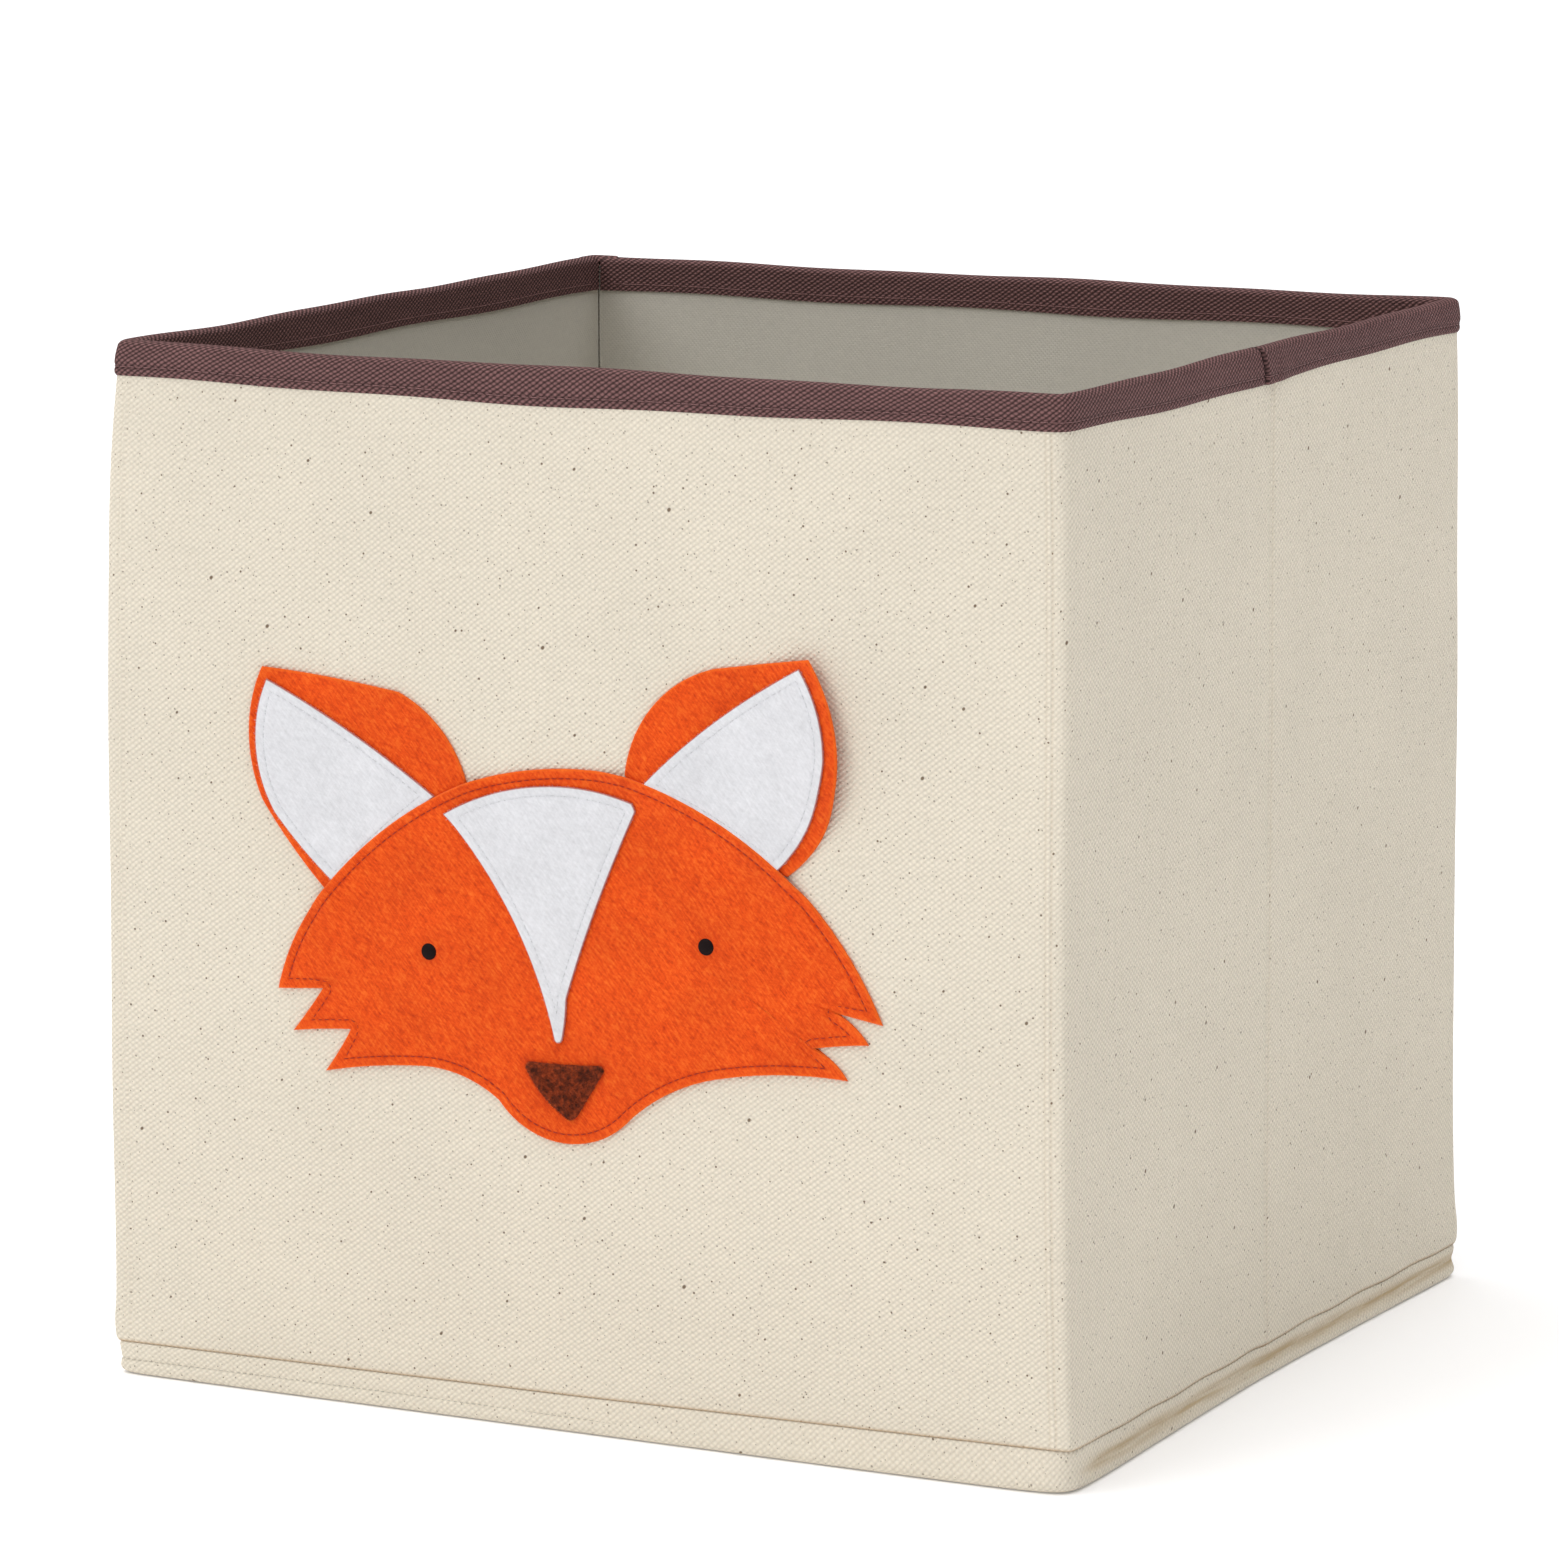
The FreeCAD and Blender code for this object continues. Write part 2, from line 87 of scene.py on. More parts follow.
# Distances round the canvas from the back left corner: down the left side, along the front,
# up the right side and along the back.
SIDE_RUN = 2 * HALF_Y
FRONT_RUN = 2 * HALF_X
FRONT_LEFT = SIDE_RUN
FRONT_RIGHT = FRONT_LEFT + FRONT_RUN
BACK_RIGHT = FRONT_RIGHT + SIDE_RUN
BACK_LEFT = BACK_RIGHT + FRONT_RUN
LEFT_CREASE = SIDE_RUN / 2
RIGHT_CREASE = FRONT_RIGHT + SIDE_RUN / 2

# Thicknesses of the sewn cloths, and how far below the rim the walls' two cloths end.
CANVAS_THICK = 0.8 * MM
LINING_THICK = 0.45 * MM
TAPE_THICK = 0.55 * MM
LAP_THICK = 0.5 * MM
BOTTOM_THICK = 0.6 * MM
CANVAS_DROP = 5 * MM
LINING_DROP = 3 * MM

# Length and thickness (as a radius) of each kind of stitch, and the pitch that it repeats at.
TAPE_STITCH = (2.5 * MM, 0.17 * MM)
TAPE_PITCH = 3.0 * MM
SEAM_STITCH = (1.15 * MM, 0.16 * MM)
SEAM_PITCH = 1.45 * MM
BAND_STITCH = (1.5 * MM, 0.13 * MM)
BAND_PITCH = 2.1 * MM
HEM_STITCH = (3.0 * MM, 0.2 * MM)
HEM_PITCH = 4.2 * MM
FELT_STITCH = (1.95 * MM, 0.17 * MM)
FELT_PITCH = 2.4 * MM


class StorageBinSizes(bpy.types.PropertyGroup):
    """Sizes of the sewn cloth that a maker would change."""

    flare_left: FloatProperty(
        name="Left flare", description="How far the canvas stands out down the left side",
        default=5.6 * MM, min=0, max=0.01, unit="LENGTH")
    flare_right: FloatProperty(
        name="Right flare",
        description="How far the canvas kicks out at the foot of the right side",
        default=3.7 * MM, min=0, max=0.01, unit="LENGTH")
    flare_front: FloatProperty(
        name="Front flare", description="How far the canvas stands out at the foot of the front",
        default=1.3 * MM, min=0, max=0.01, unit="LENGTH")
    flare_back: FloatProperty(
        name="Back flare", description="How far the canvas stands out at the foot of the back",
        default=1.2 * MM, min=0, max=0.01, unit="LENGTH")
    wave: FloatProperty(
        name="Wave", description="Height of the slow waves in each wall",
        default=0.35 * MM, min=0, max=0.003, unit="LENGTH")
    rim_corner: FloatProperty(
        name="Rim corner", description="Softness of the near upright corner at the rim",
        default=5.6 * MM, min=0.0005, max=0.01, unit="LENGTH")
    foot_corner: FloatProperty(
        name="Foot corner", description="Softness of the upright corners at the foot",
        default=2.3 * MM, min=0.0005, max=0.01, unit="LENGTH")
    tape_height: FloatProperty(
        name="Tape height", description="Height of the rim tape on the outside",
        default=11.2 * MM, min=0.005, max=0.02, unit="LENGTH")
    stitch_inset: FloatProperty(
        name="Stitch inset", description="Distance of each felt seam from the felt's edge",
        default=3.0 * MM, min=0.001, max=0.006, unit="LENGTH")
    fibre_length: FloatProperty(
        name="Fibre length", description="Length of the loose fibres on the felt's edges",
        default=0.75 * MM, min=0.0001, max=0.003, unit="LENGTH")


def colour(name, description, default):
    """A colour setting with its name, description and default."""
    return FloatVectorProperty(name=name, description=description, default=default,
                               size=3, min=0, max=1, subtype="COLOR")


class StorageBinColours(bpy.types.PropertyGroup):
    """Colours of the cloths, threads and felts."""

    canvas: colour("Canvas", "Natural cotton of the outer walls", (0.770, 0.704, 0.584))
    seed: colour("Seed specks", "Dark seed husks spun into the canvas", (0.13, 0.075, 0.035))
    # The seam colour also paints the shade in the bottom seam's fold and in the stitched grooves.
    seam: colour("Seam thread", "Thread and shaded fold along the bottom seam", (0.44, 0.27, 0.12))
    lining: colour("Lining", "Pressed lining inside the walls", (0.64, 0.61, 0.54))
    tape: colour("Rim tape", "Woven tape folded over the rim", (0.150, 0.077, 0.075))
    orange: colour("Orange felt", "Felt of the face and the ears", (0.780, 0.080, 0.0068))
    # Deep orange also paints shade in the orange felt and, tinted, the white felt's painted edge
    # shadow; light orange also paints the orange felt's highlight along its cut edges.
    orange_deep: colour("Deep orange", "Darker fibres in the orange felt", (0.500, 0.032, 0.0035))
    orange_light: colour("Light orange", "Lighter fibres in the orange felt", (0.920, 0.180, 0.020))
    thread: colour("Orange thread", "Thread that holds the orange felt", (0.33, 0.022, 0.006))
    white: colour("White felt", "Felt of the inner ears and the blaze", (0.740, 0.742, 0.765))
    nose: colour("Nose", "Flocked nose patch", (0.200, 0.030, 0.006))
    eye: colour("Eyes", "Both eyes", (0.010, 0.005, 0.005))
    board: colour("Board", "Grey-brown board inside the walls", (0.470, 0.400, 0.310))
    floor: colour("Floor", "Studio floor", (0.985, 0.985, 1.0))


def sizes():
    """The scene's sewing sizes."""
    return bpy.context.scene.storage_bin_sizes


def tints():
    """The scene's colours."""
    return bpy.context.scene.storage_bin_colours


# Meshes ------------------------------------------------------------------------------------


def smooth_step(t):
    """Nought below 0, one above 1, and three t squared less two t cubed between."""
    t = np.clip(t, 0, 1)
    return t * t * (3 - 2 * t)


def hump(distance, width):
    """A bell: e to the power of minus the square of distance over width."""
    return np.exp(-((distance / width) ** 2))


def grid_quads(rows, columns, wrap=False, flip=False):
    """Corner numbers of the faces of a grid, row by row; wrap joins the last column to the
    first."""
    across = columns if wrap else columns - 1
    r, c = np.meshgrid(np.arange(rows - 1), np.arange(across), indexing="ij")
    right = (c + 1) % columns
    quads = np.stack([r * columns + c, r * columns + right,
                      (r + 1) * columns + right, (r + 1) * columns + c], -1).reshape(-1, 4)
    return quads[:, ::-1] if flip else quads


def new_piece(name, points, faces, finish, cloth=None, layers=None, merge=False):
    """An object at the origin from arrays of points and faces, with its cloth coordinates,
    in metres, as a UV map and each further layer as a point attribute."""
    mesh = bpy.data.meshes.new(name)
    mesh.from_pydata(points.reshape(-1, 3).tolist(), [], faces.tolist())
    for key, values in (layers or {}).items():
        mesh.attributes.new(key, "FLOAT", "POINT").data.foreach_set(
            "value", np.asarray(values, np.float32).ravel())
    if cloth is not None:
        corners = np.zeros(len(mesh.loops), np.int32)
        mesh.loops.foreach_get("vertex_index", corners)
        mesh.uv_layers.new(name="cloth").data.foreach_set(
            "uv", cloth.reshape(-1, 2)[corners].astype(np.float32).ravel())
    if merge:
        work = bmesh.new()
        work.from_mesh(mesh)
        bmesh.ops.remove_doubles(work, verts=work.verts, dist=1e-6)
        work.to_mesh(mesh)
        work.free()
    mesh.shade_smooth()
    mark_free_edges(mesh)
    mesh.materials.append(finish)
    piece = bpy.data.objects.new(name, mesh)
    bpy.context.scene.collection.objects.link(piece)
    return piece


def mark_free_edges(mesh):
    """Make the edges that have one face sharp, so that a cut edge's shading stays its own."""
    loop_edges = np.zeros(len(mesh.loops), np.int32)
    mesh.loops.foreach_get("edge_index", loop_edges)
    uses = np.bincount(loop_edges, minlength=len(mesh.edges))
    mesh.edges.foreach_set("use_edge_sharp", uses == 1)


def close_holes(piece):
    """Close every open ring of edges with one face."""
    work = bmesh.new()
    work.from_mesh(piece.data)
    bmesh.ops.holes_fill(work, edges=[e for e in work.edges if e.is_boundary], sides=0)
    work.to_mesh(piece.data)
    work.free()
    piece.data.shade_smooth()


def thicken(piece, thickness):
    """Give a sheet its thickness, behind the face that shows."""
    solid = piece.modifiers.new("thickness", "SOLIDIFY")
    solid.thickness = thickness
    solid.offset = -1
    solid.use_even_offset = True
    return piece


def stations(start, end, step, fine=()):
    """Sorted distances from start to end, a step apart, and closer round each fine place,
    given as centre, half-width and step."""
    runs = [np.linspace(start, end, max(2, int(round(abs(end - start) / step)) + 1))]
    for centre, half, close in fine:
        run = np.arange(centre - half, centre + half + close / 2, close)
        runs.append(run[(run > start) & (run < end)])
    places = np.unique(np.round(np.concatenate(runs), 7))
    wide = np.concatenate([[True], np.diff(places) > 0.12 * MM])
    wide[-1] = True
    return places[wide]


def curve_through(points, count):
    """Points along a smooth run through the given ones: on each stretch, the cubic whose ends
    have the mean slope of their neighbours."""
    knots = np.asarray(points, float)
    padded = np.concatenate([[2 * knots[0] - knots[1]], knots, [2 * knots[-1] - knots[-2]]])
    place = np.linspace(0, len(knots) - 1, count)
    index = np.minimum(place.astype(int), len(knots) - 2)
    t = (place - index)[:, None]
    a, b, c, d = (padded[index + k] for k in range(4))
    return 0.5 * (2 * b + (c - a) * t + (2 * a - 5 * b + 4 * c - d) * t ** 2
                  + (3 * b - a - 3 * c + d) * t ** 3)


# The bin's skin ----------------------------------------------------------------------------


def ramp(along, soft):
    """A soft bend: half the sum of the distance along and the root of its square plus the
    softness squared.  Before the bend it is nought and after it the distance."""
    return (along + np.sqrt(along * along + soft * soft)) / 2


def soft_rectangle(u, half_x, half_y, soft, near=None):
    """Plan of a rectangle with soft corners at distance u from its back left corner.  x and y
    are each a sum of ramps, one for each corner, where that coordinate starts or stops moving.
    The front right corner may have a softness of its own."""
    side, front = 2 * half_y, 2 * half_x
    turns = [side, side + front, 2 * side + front, 2 * side + 2 * front, 3 * side + 2 * front]
    softs = [soft, soft if near is None else near, soft, soft, soft]
    bends = [ramp(u - turn, each) for turn, each in zip(turns, softs)]
    x = -half_x + ramp(-u, soft) + bends[0] - bends[1] - bends[2] + bends[3] + bends[4]
    y = half_y - ramp(u, soft) + bends[0] + bends[1] - bends[2] - bends[3] + bends[4]
    return x, y


def bin_point(u, out, z, soft, flared=1.0):
    """Point of the bin's skin: the canvas's plan at distance u, scaled outwards by out and by
    the flare.  Below the rim the left side stands out by a falling curve that soon levels off,
    the right one also kicks out towards the foot, and the front and back follow a sine.  On a
    side wall the flare falls off towards the crease."""
    size = sizes()
    x, y = soft_rectangle(u, HALF_X, HALF_Y, 0.4 * soft + 0.4 * MM, near=soft)
    drop = np.maximum(RIM_Z - z, 0)
    level = 1 - np.exp(-drop / (40 * MM))
    left = 1.0 * MM + size.flare_left * level
    right = 1.0 * MM + 1.2 * MM * level + size.flare_right * np.exp(-z / (60 * MM))
    fall = np.sin(np.minimum(drop / (RIM_Z - SEAM_Z), 1) * math.pi / 2) ** 0.75
    reach = 0.25 + 0.75 * np.minimum(np.abs(y) / HALF_Y, 1) ** 1.5
    wide = np.where(x > 0, right, left) * reach
    deep = np.where(y > 0, size.flare_back, size.flare_front) * fall
    x = x * (1 + (out + wide * flared) / HALF_X)
    y = y * (1 + (out + deep * flared) / HALF_Y)
    return np.stack(np.broadcast_arrays(x, y, z), -1)


def seam_height(u):
    """Height of the bottom seam: straight runs between a few places round the bin."""
    lap = BACK_LEFT
    places = [0, FRONT_LEFT - 20 * MM, FRONT_LEFT + HALF_X, FRONT_RIGHT - 3 * MM,
              FRONT_RIGHT + 14 * MM, FRONT_RIGHT + 60 * MM, RIGHT_CREASE, BACK_RIGHT, lap]
    heights = np.array([11.0, 10.5, 11.9, 14.2, 13.7, 12.4, 11.2, 11.0, 11.0]) * MM
    around = np.mod(u, lap)
    on_side = smooth_step((around - FRONT_RIGHT - 20 * MM) / (30 * MM)) * (around < BACK_RIGHT)
    sway = (0.30 * MM * np.sin(2 * math.pi * around / 0.043)
            - 0.7 * MM * hump(around - RIGHT_CREASE, 5 * MM))
    fade = 1 - smooth_step((around - BACK_RIGHT + 30 * MM) / (30 * MM))
    return np.interp(around, places, heights) + on_side * sway * fade


def skin_softness(z):
    """Softness of the near corner: it falls quickly below the rim, then evenly to the foot."""
    size = sizes()
    middle = 0.5 * (size.rim_corner + size.foot_corner)
    even = size.foot_corner + (middle - size.foot_corner) * np.clip(z / RIM_Z, 0, 1)
    return even + (size.rim_corner - middle) * smooth_step((z - RIM_Z + 50 * MM) / (45 * MM))


CREASE_SEAM = 1.1 * MM


def crease_dent(u):
    """Inward dent along each side's crease: a shallow bell with a stitched groove each side."""
    dent = 0
    for crease in (LEFT_CREASE, RIGHT_CREASE):
        away = np.abs(u - crease)
        stitched = 0.28 * MM * hump(away - CREASE_SEAM, 0.32 * MM)
        dent = dent - 0.40 * MM * hump(away, 2.6 * MM) - stitched
    return dent


CORNER_SEAM = 5.7 * MM


def corner_seam(u):
    """A low ridge between two grooves, beside each corner of the front and the back."""
    ridge = 0
    for corner, side in ((FRONT_LEFT, 1), (FRONT_RIGHT, -1), (BACK_RIGHT, 1)):
        away = u - (corner + side * CORNER_SEAM)
        ridge = ridge + 0.16 * MM * hump(away, 0.45 * MM)
        ridge = ridge - 0.14 * MM * hump(np.abs(away) - 1.0 * MM, 0.4 * MM)
    return ridge


def skin_out(u, z):
    """How far the canvas stands out from its plan: slow waves that die out at the rim and the
    foot, the crease's dent, the corner seams, and a turn inwards at the bottom seam."""
    wave = sizes().wave
    foot = seam_height(u)
    share = np.clip((z - foot) / (RIM_Z - foot), 0, 1)
    calm = np.sqrt(np.clip(np.sin(share * math.pi), 0, 1))
    swell = (np.sin(2 * math.pi * (u / 0.213 + z / 0.36) + 1.3)
             + 0.7 * np.sin(2 * math.pi * (u / 0.087 - z / 0.21) + 0.4)
             + 0.5 * np.sin(2 * math.pi * (u / 0.049 + z / 0.11)))
    tuck = 0.8 * MM * np.exp(-(z - foot) / (0.9 * MM))
    puff = 0.35 * MM * hump(z - foot - 7 * MM, 6 * MM)
    loose = 0.45 * MM
    return loose + wave * swell * calm * 0.6 + crease_dent(u) + corner_seam(u) + puff - tuck


def front_skin(x, z):
    """y of the front wall's canvas at x and z."""
    u = FRONT_LEFT + HALF_X + x
    return bin_point(u, skin_out(u, z), z, skin_softness(z))[..., 1]


# Pieces of skin: name, where it starts and ends, the hinge that it bends over, and its bodies.
LAP = 9 * MM
QUARTER = SIDE_RUN / 4
SKIN = [
    ("left_rear", 5 * MM, LEFT_CREASE + QUARTER, "left_crease",
     ("left_rear_panel", "left_front_panel"), ("left_rear", "left_front")),
    ("front", LEFT_CREASE + QUARTER, FRONT_RIGHT - CORNER_SEAM, "front_left_corner",
     ("left_front_panel", "front_and_base"), ("front",)),
    ("right_front", FRONT_RIGHT - CORNER_SEAM, RIGHT_CREASE - QUARTER, "fold_flat",
     ("front_and_base", "right_front_panel"), ("right_front",)),
    ("right_rear", RIGHT_CREASE - QUARTER, RIGHT_CREASE + QUARTER, "right_crease",
     ("right_front_panel", "right_rear_panel"), ("right_rear",)),
    ("back", RIGHT_CREASE + QUARTER, BACK_LEFT, "back_right_corner",
     ("right_rear_panel", "back_panel"), ("back",)),
]


def bend(piece):
    """Bake the piece's transform into its mesh."""
    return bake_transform(piece)


def fine_places(corner_step=0.6 * MM):
    """Places round the bin where a skin needs closer columns."""
    corners = [(c, 9 * MM, corner_step)
               for c in (0, FRONT_LEFT, FRONT_RIGHT, BACK_RIGHT, BACK_LEFT)]
    seams = [(c + s * CORNER_SEAM, 2 * MM, 0.25 * MM)
             for c, s in ((FRONT_LEFT, 1), (FRONT_RIGHT, -1), (BACK_RIGHT, 1))]
    creases = [(c, 4.5 * MM, 0.3 * MM) for c in (LEFT_CREASE, RIGHT_CREASE)]
    return corners + seams + creases


def seam_shade(u, z):
    """How much the cloth is darkened towards the seam colour: a thin line at the bottom seam,
    partly the seam's own tan and partly painted shade in its fold, and faint lines of painted
    shade in the grooves of the creases' stitches and beside the near corner's seam."""
    line = hump(z - seam_height(u) - 0.3 * MM, 0.42 * MM)
    crease = np.minimum(np.abs(u - LEFT_CREASE), np.abs(u - RIGHT_CREASE))
    corner = np.abs(u - FRONT_RIGHT + CORNER_SEAM)
    faint = np.maximum(hump(crease - CREASE_SEAM, 0.35 * MM),
                       0.8 * hump(corner - 1.0 * MM, 0.4 * MM))
    return np.maximum(0.8 * line, 0.12 * faint)


def sew_canvas():
    """The outer canvas, one piece for each hinge that it bends over.  Rows climb from the
    bottom seam to just under the rim, closer together near the seam."""
    finish = canvas_finish()
    rise = np.concatenate([np.linspace(0, 0.03, 16), np.linspace(0.038, 0.1, 9),
                           np.linspace(0.12, 1, 36)])
    for name, start, end, hinge, bodies, panels in SKIN:
        last = end + LAP if name == "back" else end
        columns = stations(start, last, 5 * MM, fine_places())
        u, t = np.meshgrid(columns, rise)
        foot = seam_height(u) + 0.15 * MM
        z = foot + (RIM_Z - CANVAS_DROP - foot) * t
        out = skin_out(u, z)
        # Round the open corner the back's canvas laps over the left side's.
        out = out + 0.95 * MM * smooth_step((u - BACK_LEFT + 4 * MM) / (4 * MM)) * (name == "back")
        points = bin_point(u, out, z, skin_softness(z))
        # The shade layer: painted shade at the seam's fold and the stitched grooves, partly the
        # seam's own tan.
        piece = new_piece(f"canvas_{name}_skin", points, grid_quads(*u.shape), finish,
                          cloth=np.stack([u, z], -1), layers={"shade": seam_shade(u, z)})
        thicken(piece, CANVAS_THICK)
        bend(piece)
        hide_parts(*[f"canvas_{panel}" for panel in panels])


def lining_out(u, z):
    """How far the lining stands into the bin: slow puckers, deeper beside the creases."""
    pucker = (0.5 + 0.5 * np.sin(2 * math.pi * (u / 0.071 + z / 0.4)))
    pucker = pucker * (0.6 + 0.4 * np.sin(2 * math.pi * (u / 0.19 - z / 0.13) + 2))
    crease = hump(np.minimum(np.abs(u - LEFT_CREASE), np.abs(u - RIGHT_CREASE)), 2.0 * MM)
    share = np.clip(z / RIM_Z, 0, 1)
    return (-0.5 * MM * pucker + 0.25 * MM * crease) * np.sin(share * math.pi)


def sew_lining():
    """The lining inside the walls, one piece for each hinge, with its face towards the middle."""
    finish = lining_finish()
    foot = SEAM_Z + 0.6 * MM
    for name, start, end, hinge, bodies, panels in SKIN:
        begin = 0.3 * MM if name == "left_rear" else start
        last = BACK_LEFT - 0.3 * MM if name == "back" else end
        columns = stations(begin, last, 6 * MM, fine_places(0.4 * MM))
        u, z = np.meshgrid(columns, np.linspace(foot, RIM_Z - LINING_DROP, 44))
        points = bin_point(u, LINING_X - HALF_X + lining_out(u, z), z, 1.4 * MM, flared=0.0)
        piece = new_piece(f"lining_{name}_skin", points, grid_quads(*u.shape, flip=True),
                          finish, cloth=np.stack([u, z], -1))
        thicken(piece, LINING_THICK)
        bend(piece)
        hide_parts(*[f"lining_{panel}" for panel in panels])


# Rim tape ----------------------------------------------------------------------------------


TAPE_WIDTH = 28.0 * MM
TAPE_CROWN = 2.1 * MM
TAPE_SEAM = 2.7 * MM
TAPE_UP, TAPE_OVER = 0.36, 0.28     # shares of the tape's width outside and over the rim


def tape_foot(u):
    """Height of the tape's lower edge outside: two slow waves about its usual place."""
    along = 2 * math.pi * (u - FRONT_LEFT)
    wave = 0.75 * MM * np.cos(along / 0.290) + 0.25 * MM * np.sin(along / 0.083)
    return RIM_Z - sizes().tape_height + wave


def behind_tape_end(u, z):
    """Distance behind the slanting line on the right side where the tape's two ends meet."""
    return u - RIGHT_CREASE + (8 + 4 * np.clip((z - RIM_Z + 10 * MM) / (10 * MM), 0, 1)) * MM


def tape_end_step(u, z):
    """The tape's rear end lies over its front one: a step outwards along their slanting line,
    which dies out slowly behind it, and a groove before it."""
    behind = behind_tape_end(u, z)
    step = smooth_step(behind / (0.5 * MM)) * (1 - smooth_step((behind - 7 * MM) / (16 * MM)))
    return (1.0 * step - 0.35 * hump(behind + 0.5 * MM, 0.5 * MM)) * MM


def tape_point(u, t):
    """Point of the tape: t from 0 to 1 runs up the outside, over the rim and down the inside.
    The top is half an ellipse.  The tape puffs a little above its stitching."""
    size = sizes()
    shoulder = RIM_Z - TAPE_CROWN
    reach = (TAPE_OUT + TAPE_IN) / 2
    middle = (TAPE_OUT - TAPE_IN) / 2
    foot = tape_foot(u)
    inner_foot = RIM_Z - 11.5 * MM + 0.4 * MM * np.sin(2 * math.pi * u / 0.11)
    up, over = t / TAPE_UP, (t - TAPE_UP) / TAPE_OVER
    down = (t - TAPE_UP - TAPE_OVER) / TAPE_UP
    swing = np.clip(over, 0, 1) * math.pi
    outside, inside = up < 1, down > 0
    z = shoulder + TAPE_CROWN * np.sin(swing)
    z = np.where(outside, foot + (shoulder - foot) * up, z)
    z = np.where(inside, shoulder + (inner_foot - shoulder) * down, z)
    out = middle + reach * np.cos(swing)
    on_outside = np.clip(up, 0, 1) * outside
    groove = hump(z - foot - TAPE_SEAM, 0.55 * MM) * outside
    out = out + outside * (0.35 * MM * np.sin(on_outside * math.pi) - 0.28 * MM * groove)
    out = out - outside * 0.35 * MM * hump(z - foot, 0.5 * MM)
    sway = (0.25 * MM * np.sin(2 * math.pi * u / 0.152 + 0.6)
            + 0.15 * MM * np.sin(2 * math.pi * u / 0.067))
    near_left = 0.8 * MM * hump(u - FRONT_LEFT, 30 * MM)
    top = smooth_step((z - foot) / (8 * MM)) * np.where(inside, 1 - np.clip(down, 0, 1), 1)
    z = z + (sway + near_left) * top
    fade = np.where(outside, 1, 0.5 + 0.5 * np.cos(swing))
    out = out + tape_end_step(u, z) * fade + crease_dent(u) * 0.5 * fade
    across = np.clip((out + TAPE_IN) / (TAPE_OUT + TAPE_IN), 0, 1)
    soft = 1.6 * MM + (size.rim_corner - 1.6 * MM) * across
    return bin_point(u, out, z, soft, flared=across)


def bind_rim():
    """The tape folded over the rim, one piece for each hinge, and a short lap of tape round
    the open corner."""
    finish = tape_finish()
    slanted = [(RIGHT_CREASE - 10 * MM, 4 * MM, 0.2 * MM)]
    t = np.unique(np.concatenate([np.linspace(0, 0.13, 11), np.linspace(0.13, 0.36, 8),
                                  np.linspace(0.36, 0.64, 17), np.linspace(0.64, 1, 8)]))
    for name, start, end, hinge, bodies, panels in SKIN:
        columns = stations(start, end - (4 * MM if name == "back" else 0), 4 * MM,
                           fine_places() + slanted)
        u, share = np.meshgrid(columns, t)
        # Inside the open corner the tape runs on into the corner, under the lap.
        inner = smooth_step((share - 0.52) / 0.12)
        if name == "left_rear":
            u = u - 4.7 * MM * inner * (1 - smooth_step((u - start) / (15 * MM)))
        if name == "back":
            u = u + 3.7 * MM * inner * smooth_step((u - end + 19 * MM) / (15 * MM))
        points = tape_point(u, share)
        z = points[..., 2]
        line = hump(z - tape_foot(u) - TAPE_SEAM, 0.5 * MM) * (share < TAPE_UP)
        # Painted shade in the groove of the tape's stitching and along the edge where its rear end
        # laps over its front one.
        shade = np.maximum(0.45 * line, 0.95 * hump(behind_tape_end(u, z) + 0.4 * MM, 0.55 * MM))
        piece = new_piece(f"rim_tape_{name}", points, grid_quads(*u.shape), finish,
                          cloth=np.stack([u, share * TAPE_WIDTH], -1), layers={"shade": shade})
        thicken(piece, TAPE_THICK)
        bend(piece)
        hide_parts(*[f"binding_{panel}" for panel in panels])
    u, share = np.meshgrid(np.linspace(BACK_LEFT - LAP, BACK_LEFT + LAP, 40), t[t < 0.66])
    points = tape_point(u, share)
    points[..., :2] *= 1 + 0.6 * MM / HALF_X
    points[..., 2] += 0.35 * MM * smooth_step((points[..., 2] - RIM_Z + 8 * MM) / (8 * MM))
    lap = new_piece("rim_tape_corner_lap", points, grid_quads(*u.shape), finish,
                    cloth=np.stack([u, share * TAPE_WIDTH], -1))
    thicken(lap, LAP_THICK)
    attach(lap, "back_panel")


# Stitches and fibres -----------------------------------------------------------------------


def stitch_mesh(name, middle, along, away, length, radius, finish, sink=0.4):
    """Small thread stitches, one at each middle.  Each is a tube along its direction whose
    radius follows a half ellipse, and whose middle stands out from the cloth in an arch."""
    t = np.array([-1.0, -0.82, -0.35, 0.35, 0.82, 1.0])
    swell = np.sqrt(np.clip(1 - t * t, 0.04, 1)) ** 0.7
    turn = np.linspace(0, 2 * math.pi, 6, endpoint=False)
    along = along / np.linalg.norm(along, axis=1, keepdims=True)
    away = away - (away * along).sum(1, keepdims=True) * along
    away = away / np.linalg.norm(away, axis=1, keepdims=True)
    beside = np.cross(along, away)
    arch = radius * (1.0 * (1 - t * t) - sink)
    centre = (middle[:, None] + along[:, None] * (t * length / 2)[None, :, None]
              + away[:, None] * arch[None, :, None])
    ring = (away[:, None, None] * np.cos(turn)[None, None, :, None]
            + beside[:, None, None] * np.sin(turn)[None, None, :, None])
    points = centre[:, :, None] + ring * (radius * swell)[None, :, None, None]
    count, rows, sides = points.shape[:3]
    one = grid_quads(rows, sides, wrap=True, flip=True)
    faces = (one[None] + (np.arange(count) * rows * sides)[:, None, None]).reshape(-1, 4)
    piece = new_piece(name, points, faces, finish,
                      cloth=np.broadcast_to((t * length / 2)[None, :, None, None],
                                            (count, rows, sides, 2)))
    close_holes(piece)
    return piece


